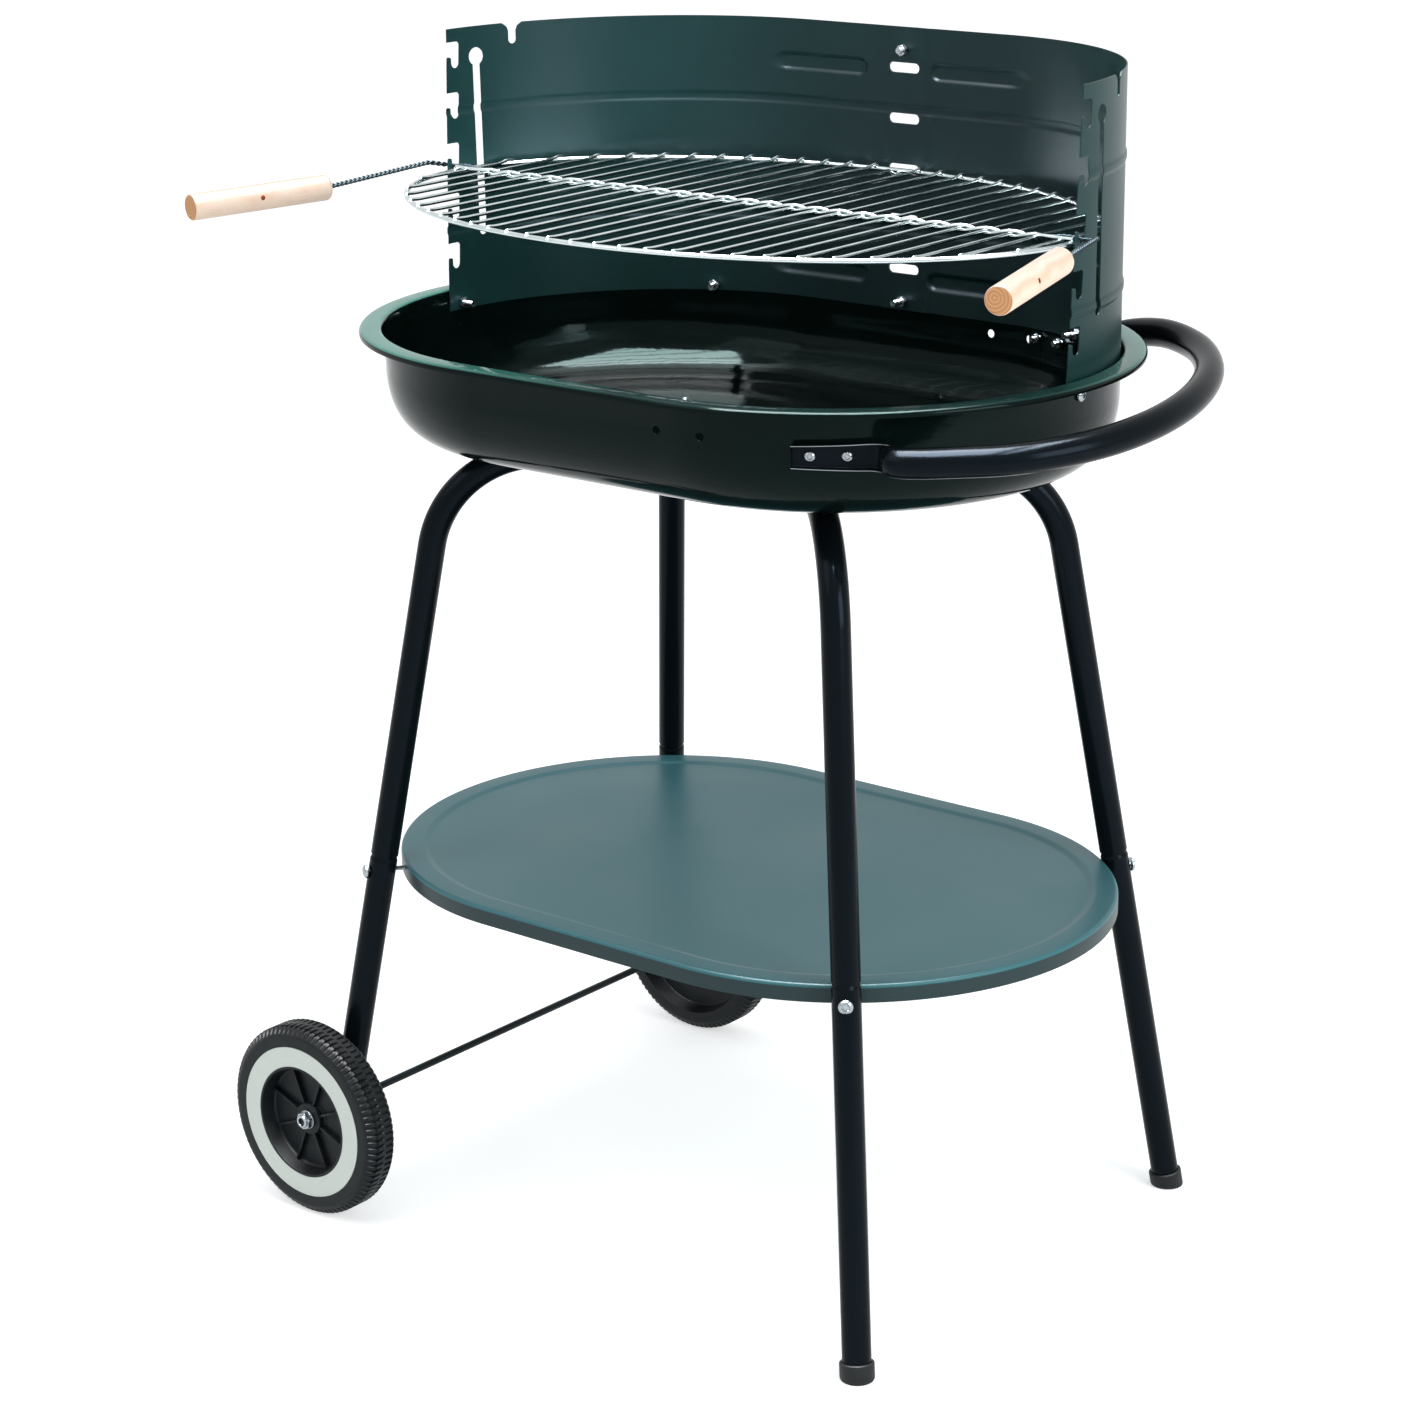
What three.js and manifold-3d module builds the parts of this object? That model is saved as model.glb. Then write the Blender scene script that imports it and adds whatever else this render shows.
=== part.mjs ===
// Open charcoal trolley grill: an oval fire bowl with a slotted windshield, a lift-out wire
// grate, a push handle, four legs, an oval shelf and two wheels on one axle.
// Millimetres. +X points to the push handle, +Y to the windshield, +Z up, floor at z = 0.
import * as THREE from 'three';
import { mergeVertices } from 'three/addons/utils/BufferGeometryUtils.js';
import Module from 'manifold-3d';

const wasm = await Module();
wasm.setup();

// Clearances
const seatGap = 0.3; // between pieces that rest on or pass through one another
const holeGap = 0.4; // round a fastener in its hole
const runningGap = 0.09; // between the axle and a wheel's bore
const wireGap = 0.1; // between twisted wires and the rod they hold

// Fire bowl
const bowlArcCentre = 94.6; // half the straight run of the oval
const bowlMouthRadius = 208.5;
const bowlRimWidth = 16.9;
const bowlRimRadius = bowlMouthRadius + bowlRimWidth;
const bowlDraft = 2.7; // how far the upper side leans in from the mouth to the knee
const bowlKneeRadius = bowlMouthRadius - bowlDraft;
const bowlCurve = 55.8; // width of the rounded side
const bowlFloorRadius = bowlKneeRadius - bowlCurve;
const bowlTop = 713.7;
const bowlRimLip = 4.5;
const bowlRimFillet = 2;
const bowlKneeDrop = 24.9; // rim to the knee, where the side begins to curve in
const bowlKneeHeight = bowlTop - bowlKneeDrop;
const bowlDepth = 86.7;
const bowlBottom = bowlTop - bowlDepth;
const bowlSheet = 1;
const bowlBelly = 2.6; // exponent of the rounded side, 2 is an ellipse
const spareHoles = [85, 123];
const spareHoleRadius = 3.3;
const spareHoleDrop = 1.8; // knee to the holes' centres

// Windshield
const shieldTuck = 17.1; // how deep its lower edge sits in the bowl
const shieldBottom = bowlTop - shieldTuck;
const shieldRise = 208.2;
const shieldTop = bowlTop + shieldRise;
const shieldSheet = 0.9;
const shieldLean = 1.5; // how far the top stands out from the bottom
const shieldSplay = 6; // extra lean of the free front ends
const splayFrom = 60; // degrees from the back where the extra lean begins
const splayFull = 110; // and where it is full
const shieldOverlap = 21; // each half runs this far past the centre line
const shieldJoggle = 6; // length of the step into the overlap
const shieldPast = 10; // degrees each half runs on past the oval's end before it is trimmed
const beadRise = 65.4; // lower edge to the lower bead
const beadDrop = 64.9; // upper edge to the upper bead
const beadHeights = [shieldBottom + beadRise, shieldTop - beadDrop];
const beadHalfWidth = 6;
const beadDepth = 1.4;
const dentRise = 25.4; // lower edge to the lower pressed dents
const dentDrop = 33.9; // upper edge to the upper ones
const dentHeights = [shieldBottom + dentRise, shieldTop - dentDrop];
const dentHalfHeight = 7.5;
const dentSlope = 3; // width of a dent's sloping border
const dentDepth = 2.4;
const dentSpans = { left: [37, 127], right: [31, 114] }; // distances from the seam
const edgeTopY = 3;
const edgeBottomY = -9.6;
const notchCount = 5;
const notchPitch = 40;
const notchMargin = 10.5; // upper edge to the first notch
const notchTop = shieldTop - notchMargin;
const notchDepth = 13;
const notchDrop = 20.9; // mouth top to slot bottom
const notchCorner = 3;
const slotRadius = 4.2;
const toothDrop = 11.4; // mouth top to tooth tip
const toothSet = 1.6; // the tip stands this far behind the edge
const toothNose = 3; // from the tip down to the edge
const toothHook = 2.5; // the tooth's back ends this far above the slot's centre
const grateNotch = 2; // the notch the grate hangs in, counted from the top
const keyholeY = 32;
const keyholeRadius = 6;
const keyholeDrop = 17.9;
const keyholeTop = shieldTop - keyholeDrop;
const keyholeRise = 58.4;
const keyholeBottom = shieldBottom + keyholeRise;
const keySlotWidth = 6;
const topNotchY = 66;
const topNotchWidth = 6;
const topNotchDepth = 17;
const topNotchFlare = 4.2; // how far each lip spreads
const topNotchLip = 4.8; // height of the flared lips
const rearSlotHalfLength = 15; // every rear slot
const rearSlotHeight = 8;
const rearSlotDrop = 31.9; // shield top to the centre of the first rear slot

// Bolts through the windshield
const seamBoltDrop = 17.9; // from the upper edge
const seamBoltRise = 7.4; // from the lower edge
const seamBoltHeights = { upper: shieldTop - seamBoltDrop, lower: shieldBottom + seamBoltRise };
const sideBoltRise = 4.4;
const sideBoltFacet = 2.5; // facets round the arc from the back
const endBoltRise = 5.4;
const endBoltFacet = 8.5;
const endBoltShift = 12.5; // from the facet's middle towards the free edge

// Legs
const legRadius = 11;
const legBendRadius = 85;
const legCorner = [188.7, 136.6]; // where the run under the bowl meets the leg's line
const restLegSlope = [0.1197, 0.1193]; // outward run per millimetre of drop
const wheelLegSlope = [0.1362, 0.1309];
const legRun = 102; // corner to the bolt under the bowl
const jointRise = 6.4; // shelf top to the upper tube's lower end
const neckShow = 6; // how much of the lower tube's neck is seen at the joint
const neckRecess = 1.5;
const neckLength = 44;
const padHalfWidth = 15;
const padThickness = 5;
const padLength = 13;
const padFlat = 9.1; // the pad stays flat this far past the bolt
const padTaper = 20;
const socketRoom = 2; // past the end of the lower tube's neck
const legSides = 12;
const wheelLegEnd = 17; // the wheel legs end this far below the axle
const tubeMouth = 10; // depth of their open lower ends

// Foot caps
const capHeight = 13;
const capWall = 1.8;
const capFloor = 2.4;
const capRoom = 3; // under the tube's end inside the cap

// Shelf
const shelfArcCentre = 97.6;
const shelfDrop = 340.4; // bowl bottom to the shelf's top
const shelfTop = bowlBottom - shelfDrop;
const legJoint = shelfTop + jointRise;
const shelfSkirt = 14.4;
const shelfSheet = 1;
const shelfFillet = 3;
const shelfGroove = 24; // groove centre, in from the edge
const shelfGrooveWidth = 7;
const shelfGrooveDepth = 1.8;
const shelfScrewDrop = 7.4;
const shelfScrewFacet = 3.5; // facets round the arc from the back or front

// Wheels and axle
const wheelRadius = 79.7;
const wheelWidth = 30.6;
const wheelStandOff = 52; // leg's axis at the axle to the wheel's outer face
const axleEndIn = 0.5; // the axle ends this far inside the outer faces
const treadShoulder = 5;
const ringOuter = 63.4;
const ringInner = 46.8;
const ringThickness = 1.4;
const dishDepth = 13;
const webThickness = 4;
const hubRadius = 13;
const hubRise = 5;
const hubSeat = 10; // radius of the hub's end beside the leg
const spokeCount = 8;
const spokeThickness = 2.4;
const spokeHeight = 9.1;
const spokeRoot = 0.5; // sunk into the web
const wallStep = 4; // the dish's wall starts this far inside the ring
const wallLip = 2;
const treadFall = 3; // extra width of the tread's sloping shoulder
const wheelSteps = 24;
const axleRadius = 3;
const axleNutSize = 13;
const axleNutHeight = 6;
const washerRadius = 9;
const washerThickness = 1.5;

// Push handle
const handleRadius = 11;
const handleDrop = 34.7; // bowl's top to the handle's ends
const handleHeight = bowlTop - handleDrop;
const frontHandleFacet = 3.5; // facets round the arc from the front
const rearHandleFacet = 1.5; // and from the back
const rearHandleRise = 11; // the rear end is bolted on this much higher
const handleTrough = [27, -26]; // ends of the pressed trough along the wall
const handleWeb = 2.6; // the pressed tube's doubled wall
const troughHalfHeights = [8.5, 11];
const troughFlat = 20; // the trough keeps its full press this far from its end
const troughRunOut = 8; // and eases out over this length
const lipReach = 7.5; // how far its rolled lips stand out
const handleBend = [ // degrees round the end, past the rim, above the front end
  [-43.4, 10.4, 1], [-34.2, 26, 2.5], [-27.2, 38.5, 4], [-19.7, 46.5, 6.5], [-10.9, 51, 9.5], [-2.3, 52, 13],
  [6.4, 51, 16.5], [16.1, 48.7, 20], [29.2, 45, 24.5], [42, 37.6, 28], [53.5, 24.6, 28], [61, 14, 22], [67, 4, 15],
];
const handleScrewsAlong = [15, -11];
const wallLean = 4; // the wall is measured this far below the screws for its lean
const nutRoom = 1; // for nuts inside the curving wall

// Grate
const grateEndRoom = 7.1; // rim to the bowl's mouth at each end
const grateSideRoom = 12.5;
const grateHalfLength = bowlArcCentre + bowlMouthRadius - grateEndRoom;
const grateHalfDepth = bowlMouthRadius - grateSideRoom;
const grateCentreY = 0.5;
const rimWire = 2;
const rodRadius = 1.5;
const rodPitch = 22;
const rodEndRoom = 8; // the last rod keeps this far from the rim's end
const rodPairs = Math.floor((grateHalfLength - rodEndRoom) / rodPitch);
const spineRadius = 1.75;
const hookDrop = 2.4;
const tongueReach = 7; // past the windshield's outer face
const spineEndIn = 22; // twist stops this far inside the rim's ends
const handleWireRadius = 2;

// Grips
const gripRadius = 10.5;
const gripRound = 3;
const gripBoreDepth = 108;
const gripBends = { // past the rim's end, along Y, above the wire in its notch
  left: { side: -1, corner: [25, -5, 2.7], near: [34.5, -109.7, -3.8], far: [67.5, -226, -6.8] },
  right: { side: 1, corner: [25, -4, 4.7], near: [45, -79, 2.2], far: [78.5, -201, -1.8] },
};

// Fasteners
const boltRadius = 2.5;
const screwRadius = 2;
const screwLeanRoom = 1.2; // for a flat head against the slanting leg
const headCrown = 0.55; // a head's flat top, as a share of its radius
const headEdge = 0.35; // its rounded edge, as a share of its height
const cutPast = 10; // cutting shapes run on this far past what they cut

const arcSteps = 18; // facets in half a turn of every oval piece
const degrees = Math.PI / 180;
const facetAngle = 180 / arcSteps;
const facetDepth = Math.cos((facetAngle / 2) * degrees); // a facet's middle over its corners

const enamel = { color: '#10201e', roughness: 0.22, metalness: 0.1 };
const satinSteel = { color: '#26383d', roughness: 0.42, metalness: 0.25 };
const satinTube = { color: '#151b20', roughness: 0.35, metalness: 0.25 };
const shelfPaint = { color: '#5a7880', roughness: 0.45, metalness: 0.2 };
const zincSteel = { color: '#c9cdcb', roughness: 0.3, metalness: 0.9 };
const chromeWire = { color: '#d8dcd8', roughness: 0.2, metalness: 1 };
const beech = { color: '#f0d2b4', roughness: 0.7, metalness: 0 };
const blackPlastic = { color: '#16181a', roughness: 0.55, metalness: 0 };
const palePlastic = { color: '#c8d2c6', roughness: 0.5, metalness: 0 };

const grill = new THREE.Group();

function addPiece(name, geometry, look) {
  geometry.computeVertexNormals();
  const mesh = new THREE.Mesh(geometry, new THREE.MeshStandardMaterial(look));
  mesh.name = name;
  grill.add(mesh);
}

function vector(x, y, z) {
  return new THREE.Vector3(x, y, z);
}

// Solids are joined and cut as manifolds and go back to plain geometry.
function toSolid(geometry) {
  const bare = geometry.clone();
  bare.deleteAttribute('normal');
  bare.deleteAttribute('uv');
  const welded = mergeVertices(bare, 1e-4);
  return new wasm.Manifold(new wasm.Mesh({
    numProp: 3,
    vertProperties: Float32Array.from(welded.attributes.position.array),
    triVerts: Uint32Array.from(welded.index.array),
  }));
}

function toGeometry(solid) {
  const mesh = solid.getMesh();
  const geometry = new THREE.BufferGeometry();
  geometry.setAttribute('position', new THREE.BufferAttribute(mesh.vertProperties, 3));
  geometry.setIndex(new THREE.BufferAttribute(mesh.triVerts, 1));
  return geometry;
}

function cut(geometry, tools) {
  return toGeometry(tools.reduce((solid, tool) => solid.subtract(toSolid(tool)), toSolid(geometry)));
}

function join(geometries) {
  const [first, ...rest] = geometries.map(toSolid);
  return toGeometry(rest.reduce((solid, next) => solid.add(next), first));
}

// The volume a closed mesh holds, negative when its faces point inward.
function signedVolume(points, index) {
  let volume = 0;
  for (let i = 0; i < index.length; i += 3) {
    const [a, b, c] = [points[index[i]], points[index[i + 1]], points[index[i + 2]]];
    volume += a.dot(vector().crossVectors(b, c)) / 6;
  }
  return volume;
}

function ringNormal(ring) {
  const normal = vector(0, 0, 0);
  ring.forEach((point, i) => {
    normal.add(vector().crossVectors(point, ring[(i + 1) % ring.length]));
  });
  return normal.normalize();
}

// Triangles that fill a flat ring, turned the way the ring runs.
function fillRing(ring) {
  const normal = ringNormal(ring);
  const u = vector().subVectors(ring[1], ring[0]).normalize();
  const v = vector().crossVectors(normal, u);
  const flat = ring.map((point) => new THREE.Vector2(point.dot(u), point.dot(v)));
  return THREE.ShapeUtils.triangulateShape(flat, []);
}

// A closed skin over rings with equal point counts, capped at both ends or joined in a loop.
function loft(rings, loop = false) {
  const count = rings[0].length;
  const points = rings.flat();
  const index = [];
  const spans = loop ? rings.length : rings.length - 1;
  for (let i = 0; i < spans; i += 1) {
    const a = i * count;
    const b = ((i + 1) % rings.length) * count;
    for (let j = 0; j < count; j += 1) {
      const k = (j + 1) % count;
      index.push(a + j, a + k, b + k, a + j, b + k, b + j);
    }
  }
  if (!loop) {
    const last = (rings.length - 1) * count;
    fillRing(rings[0]).forEach(([a, b, c]) => index.push(a, c, b));
    fillRing(rings.at(-1)).forEach(([a, b, c]) => index.push(last + a, last + b, last + c));
  }
  if (signedVolume(points, index) < 0) {
    index.reverse();
  }
  const geometry = new THREE.BufferGeometry();
  geometry.setAttribute('position', new THREE.Float32BufferAttribute(points.flatMap((p) => p.toArray()), 3));
  geometry.setIndex(index);
  return geometry;
}

// A polyline in (radius, height) moved sideways to its left, with mitred corners.
function offsetLine(line, distance) {
  return line.map((point, i) => {
    const before = line[Math.max(i - 1, 0)];
    const after = line[Math.min(i + 1, line.length - 1)];
    const first = new THREE.Vector2(point[0] - before[0], point[1] - before[1]).normalize();
    const second = new THREE.Vector2(after[0] - point[0], after[1] - point[1]).normalize();
    const along = first.clone().add(second).normalize();
    const reference = i === 0 ? second : first;
    const stretch = distance / Math.max(along.dot(reference), 0.5);
    return [point[0] - along.y * stretch, point[1] + along.x * stretch];
  });
}

// Stations round half an oval: an arc centre and the direction of the outward normal.
function arcStations(centre, from, to) {
  const steps = Math.round(Math.abs(to - from) / (180 / arcSteps));
  return Array.from({ length: steps + 1 }, (_, i) => ({
    centre, angle: (from + ((to - from) * i) / steps) * degrees,
  }));
}

function ovalRing(halfRun, radius, height) {
  const stations = [...arcStations(halfRun, -90, 90), ...arcStations(-halfRun, 90, 270)];
  return stations.map(({ centre, angle }) => vector(
    centre + radius * Math.cos(angle), radius * Math.sin(angle), height,
  ));
}

// A pressed oval sheet: the line runs from the middle outward, the sheet lies on its left.
function ovalPressing(halfRun, line, thickness) {
  const section = [...line, ...offsetLine(line, thickness).reverse()];
  return loft(section.map(([radius, height]) => ovalRing(halfRun, radius, height)));
}

// A round bar between two points, used as a drill and for rods.
function bar(from, to, radius, sides = 12) {
  const axis = vector().subVectors(to, from);
  const geometry = new THREE.CylinderGeometry(radius, radius, axis.length(), sides);
  const turn = new THREE.Quaternion().setFromUnitVectors(vector(0, 1, 0), axis.clone().normalize());
  geometry.applyQuaternion(turn);
  const middle = vector().addVectors(from, to).multiplyScalar(0.5);
  geometry.translate(middle.x, middle.y, middle.z);
  return geometry;
}

function drill(point, direction, radius, reach = 20) {
  const from = point.clone().addScaledVector(direction, -reach);
  const to = point.clone().addScaledVector(direction, reach);
  return bar(from, to, radius, 8);
}

// A straight path with its corners rounded to one radius.
function roundedPath(corners, radius, steps) {
  const path = [corners[0]];
  for (let i = 1; i < corners.length - 1; i += 1) {
    const before = vector().subVectors(corners[i], corners[i - 1]).normalize();
    const after = vector().subVectors(corners[i + 1], corners[i]).normalize();
    const turn = before.angleTo(after);
    const inward = after.clone().addScaledVector(before, -Math.cos(turn)).normalize();
    const start = corners[i].clone().addScaledVector(before, -radius * Math.tan(turn / 2));
    const hub = start.clone().addScaledVector(inward, radius);
    for (let k = 0; k <= steps; k += 1) {
      const angle = (turn * k) / steps;
      path.push(hub.clone().addScaledVector(inward, -radius * Math.cos(angle))
        .addScaledVector(before, radius * Math.sin(angle)));
    }
  }
  path.push(corners.at(-1));
  return path;
}

// Directions along a path of points, halved at its corners.
function pathTangents(path) {
  return path.map((point, i) => {
    const before = path[Math.max(i - 1, 0)];
    const after = path[Math.min(i + 1, path.length - 1)];
    const first = vector().subVectors(point, before).normalize();
    const second = vector().subVectors(after, point).normalize();
    return first.add(second).normalize();
  });
}

// A ring in the plane across a direction; the section gives [across, up] for each point.
function ringAcross(point, tangent, upward, section) {
  const across = vector().crossVectors(tangent, upward).normalize();
  const up = vector().crossVectors(across, tangent);
  return section.map(([a, b]) => point.clone().addScaledVector(across, a).addScaledVector(up, b));
}

function circleSection(radius, sides) {
  return Array.from({ length: sides }, (_, i) => {
    const angle = (2 * Math.PI * (i + 0.5)) / sides;
    return [radius * Math.cos(angle), radius * Math.sin(angle)];
  });
}

function wire(path, radius, sides, upward) {
  const tangents = pathTangents(path);
  const section = circleSection(radius, sides);
  return loft(path.map((point, i) => ringAcross(point, tangents[i], upward, section)));
}

// A shape drawn in the (y, z) plane, extruded along +X from a start.
function extrudeAlongX(shape, start, depth, curveSegments = 3) {
  const geometry = new THREE.ExtrudeGeometry(shape, { depth, bevelEnabled: false, curveSegments });
  geometry.applyMatrix4(new THREE.Matrix4().makeBasis(vector(0, 1, 0), vector(0, 0, 1), vector(1, 0, 0)));
  geometry.translate(start, 0, 0);
  return geometry;
}

// A shape drawn in the (x, z) plane, extruded along Y towards the back.
function extrudeAlongY(shape, start, depth, curveSegments = 3) {
  const geometry = new THREE.ExtrudeGeometry(shape, { depth, bevelEnabled: false, curveSegments });
  geometry.applyMatrix4(new THREE.Matrix4().makeBasis(vector(1, 0, 0), vector(0, 0, 1), vector(0, -1, 0)));
  geometry.translate(0, start + depth, 0);
  return geometry;
}

// ---- Fasteners ----

// Fasteners are small, so every ring has the six corners that a nut needs.
function sixRing(radius, height) {
  return Array.from({ length: 6 }, (_, i) => {
    const angle = i * 60 * degrees;
    return vector(radius * Math.cos(angle), radius * Math.sin(angle), height);
  });
}

// A ring of a nut of the given width across its flats.
function nutRing(size, height) {
  return sixRing(size / 2 / Math.cos(30 * degrees), height);
}

// A bolt with its nut. Its head's underside is at the point, and the shank runs along the
// direction through the grip length to the nut and a threaded tail.
function boltWithNut(point, direction, { shank, head, headHeight, grip, nut, nutHeight, tail }) {
  const rings = [
    sixRing(head * headCrown, -headHeight),
    sixRing(head, -headHeight * headEdge),
    sixRing(head, 0),
    sixRing(shank, 0),
    sixRing(shank, grip),
    nutRing(nut, grip),
    nutRing(nut, grip + nutHeight),
    sixRing(shank, grip + nutHeight),
    sixRing(shank, grip + nutHeight + tail),
  ];
  const geometry = loft(rings);
  const turn = new THREE.Quaternion().setFromUnitVectors(vector(0, 0, 1), direction.clone().normalize());
  geometry.applyQuaternion(turn);
  geometry.translate(point.x, point.y, point.z);
  return geometry;
}

// ---- Fire bowl ----

function bowlLine() {
  const line = [];
  const steps = 5;
  for (let i = 0; i <= steps; i += 1) {
    const angle = (90 * degrees * (steps - i)) / steps;
    line.push([
      bowlFloorRadius + (bowlKneeRadius - bowlFloorRadius) * Math.cos(angle) ** (2 / bowlBelly),
      bowlKneeHeight - (bowlKneeHeight - bowlBottom) * Math.sin(angle) ** (2 / bowlBelly),
    ]);
  }
  const under = bowlTop - bowlSheet;
  const lipInner = bowlRimRadius - bowlSheet;
  line.push([bowlMouthRadius, under - bowlRimFillet]);
  line.push([bowlMouthRadius + bowlRimFillet, under]);
  line.push([lipInner - bowlRimFillet, under]);
  line.push([lipInner, under - bowlRimFillet]);
  line.push([lipInner, bowlTop - bowlRimLip]);
  return line;
}

// Outer radius of the bowl at a height, read off its own outline.
function bowlRadius(height) {
  const line = bowlLine();
  const above = line.findIndex((point) => point[1] > height);
  const [low, high] = [line[above - 1], line[above]];
  return low[0] + ((high[0] - low[0]) * (height - low[1])) / (high[1] - low[1]);
}

// A place on a facet of the arcs, counted from the back towards the ends: the point that
// lies along the facet from its middle, and the facet's outward direction.
function onFacet(sideX, sideY, count, along, height, radius) {
  const angle = 90 - count * facetAngle;
  const outward = vector(sideX * Math.cos(angle * degrees), sideY * Math.sin(angle * degrees), 0);
  const towardsEnd = vector(-outward.y * sideX * sideY, outward.x * sideX * sideY, 0).negate();
  return {
    point: vector(sideX * bowlArcCentre, 0, height)
      .addScaledVector(outward, radius * facetDepth).addScaledVector(towardsEnd, along),
    outward,
  };
}

function legBoltPoint(sideX, sideY, slope) {
  const run = Math.hypot(...slope);
  return vector(
    sideX * (legCorner[0] - (legRun * slope[0]) / run),
    sideY * (legCorner[1] - (legRun * slope[1]) / run),
    bowlBottom,
  );
}

const legs = [
  { name: 'rest_front', sideX: 1, sideY: -1, slope: restLegSlope },
  { name: 'rest_back', sideX: 1, sideY: 1, slope: restLegSlope },
  { name: 'wheel_front', sideX: -1, sideY: -1, slope: wheelLegSlope },
  { name: 'wheel_back', sideX: -1, sideY: 1, slope: wheelLegSlope },
];

const sideBolts = [
  { name: 'side_bolt_left', side: -1, count: sideBoltFacet, along: 0, rise: sideBoltRise },
  { name: 'side_bolt_right', side: 1, count: sideBoltFacet, along: 0, rise: sideBoltRise },
  { name: 'end_bolt_left', side: -1, count: endBoltFacet, along: endBoltShift, rise: endBoltRise },
  { name: 'end_bolt_right', side: 1, count: endBoltFacet, along: endBoltShift, rise: endBoltRise },
];

function sideBoltPlace({ side, count, along, rise }, radius) {
  return onFacet(side, 1, count, along, shieldBottom + rise, radius);
}

// The trough's back clears the wall at the trough's upper edge; below it the wall leans away.
function handleEnd(side, facet, height) {
  const seat = bowlRadius(height + troughHalfHeights[0]) + seatGap / facetDepth;
  const leanRoom = seat - bowlRadius(height - wallLean);
  return { leanRoom, place: (along) => onFacet(1, side, facet, -along, height, seat) };
}

const handleEnds = [
  handleEnd(-1, frontHandleFacet, handleHeight),
  handleEnd(1, rearHandleFacet, handleHeight + rearHandleRise),
];

// Handle screws go through the wall on one facet at each end.
function handleScrewPlaces() {
  return handleEnds.flatMap(({ leanRoom, place }) => (
    handleScrewsAlong.map((along) => ({ leanRoom, ...place(along) }))
  ));
}

function fireBowl() {
  const upward = vector(0, 0, 1);
  const back = vector(0, 1, 0);
  const tools = legs.map(({ sideX, sideY, slope }) => (
    drill(legBoltPoint(sideX, sideY, slope), upward, boltRadius + holeGap)
  ));
  sideBolts.forEach((bolt) => {
    const { point, outward } = sideBoltPlace(bolt, bowlRadius(shieldBottom + bolt.rise));
    tools.push(drill(point, outward, boltRadius + holeGap));
  });
  tools.push(drill(vector(0, bowlRadius(seamBoltHeights.lower), seamBoltHeights.lower), back,
    boltRadius + holeGap));
  handleScrewPlaces().forEach(({ point, outward }) => {
    tools.push(drill(point, outward, screwRadius + holeGap));
  });
  [-1, 1].forEach((side) => spareHoles.forEach((x) => {
    tools.push(drill(vector(x, side * bowlKneeRadius, bowlKneeHeight - spareHoleDrop), back, spareHoleRadius));
  }));
  return cut(ovalPressing(bowlArcCentre, bowlLine(), bowlSheet), tools);
}

// ---- Windshield ----

const shieldOuterBottom = bowlRadius(shieldBottom) - bowlSheet - seatGap;

// The sheet's outline in (radius, height), and which of its points a dent moves out.
function shieldLine() {
  const crest = shieldOuterBottom + beadDepth;
  const bead = (height) => [
    [shieldOuterBottom, height - beadHalfWidth], [crest, height - beadHalfWidth / 2],
    [crest, height + beadHalfWidth / 2], [shieldOuterBottom, height + beadHalfWidth],
  ].map((point) => ({ point, dented: false }));
  const dent = (height) => [
    [-dentHalfHeight, false], [dentSlope - dentHalfHeight, true],
    [dentHalfHeight - dentSlope, true], [dentHalfHeight, false],
  ].map(([rise, dented]) => ({ point: [shieldOuterBottom, height + rise], dented }));
  return [
    { point: [shieldOuterBottom, shieldBottom], dented: false },
    ...dent(dentHeights[0]), ...beadHeights.flatMap(bead), ...dent(dentHeights[1]),
    { point: [shieldOuterBottom, shieldTop], dented: false },
  ];
}

// How far the sheet stands out at a height and an angle round the arc.
function shieldOffset(angle, height) {
  const rise = (height - shieldBottom) / (shieldTop - shieldBottom);
  const fromBack = Math.min(Math.abs(angle / degrees - 90), splayFull);
  const frontness = Math.max(0, fromBack - splayFrom) / (splayFull - splayFrom);
  return rise * (shieldLean + shieldSplay * frontness ** 2);
}

// Adds the rings where a half's dents begin and end, and presses the dented points back.
function pressDents(rings, side, dented) {
  const [near, far] = side < 0 ? dentSpans.left : dentSpans.right;
  [near, near + dentSlope, far - dentSlope, far].forEach((reach) => {
    const x = side * reach;
    const after = rings.findIndex((ring) => side * ring[0].x < reach);
    const [from, to] = [rings[after - 1], rings[after]];
    const share = (x - from[0].x) / (to[0].x - from[0].x);
    rings.splice(after, 0, from.map((point, i) => point.clone().lerp(to[i], share)));
  });
  const inSpan = (ring) => side * ring[0].x > near + dentSlope / 2 && side * ring[0].x < far - dentSlope / 2;
  rings.filter(inSpan).forEach((ring) => ring.forEach((point, i) => {
    point.y += dented[i] ? dentDepth : 0;
  }));
}

function shieldRing({ centre, angle, inset }, section) {
  return section.map(([radius, height]) => {
    const reach = radius + shieldOffset(angle, height) - inset;
    return vector(centre + reach * Math.cos(angle), reach * Math.sin(angle), height);
  });
}

// Half of the windshield. The inner half steps in by a sheet to lie inside the other one.
function shieldHalf(side, inner) {
  const outline = shieldLine();
  const line = outline.map(({ point }) => point);
  const dented = outline.map((spot) => spot.dented);
  const section = [...line, ...offsetLine(line, shieldSheet).reverse()];
  const end = side > 0 ? -shieldPast : 180 + shieldPast;
  const arc = arcStations(side * bowlArcCentre, end, 90);
  const stations = arc.map((station) => ({ ...station, inset: 0 }));
  const step = inner ? shieldSheet + seatGap : 0;
  const straight = [
    { x: side * (shieldOverlap + shieldJoggle), inset: 0 },
    { x: side * shieldOverlap, inset: step },
    { x: -side * shieldOverlap, inset: step },
  ];
  straight.filter(({ inset }, i) => inner || i === 2).forEach(({ x, inset }) => {
    stations.push({ centre: x, angle: 90 * degrees, inset });
  });
  const rings = stations.map((station) => shieldRing(station, section));
  pressDents(rings, side, [...dented, ...dented.reverse()]);
  return loft(rings);
}

function edgeY(height) {
  return edgeBottomY + ((edgeTopY - edgeBottomY) * (height - shieldBottom)) / (shieldTop - shieldBottom);
}

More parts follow.
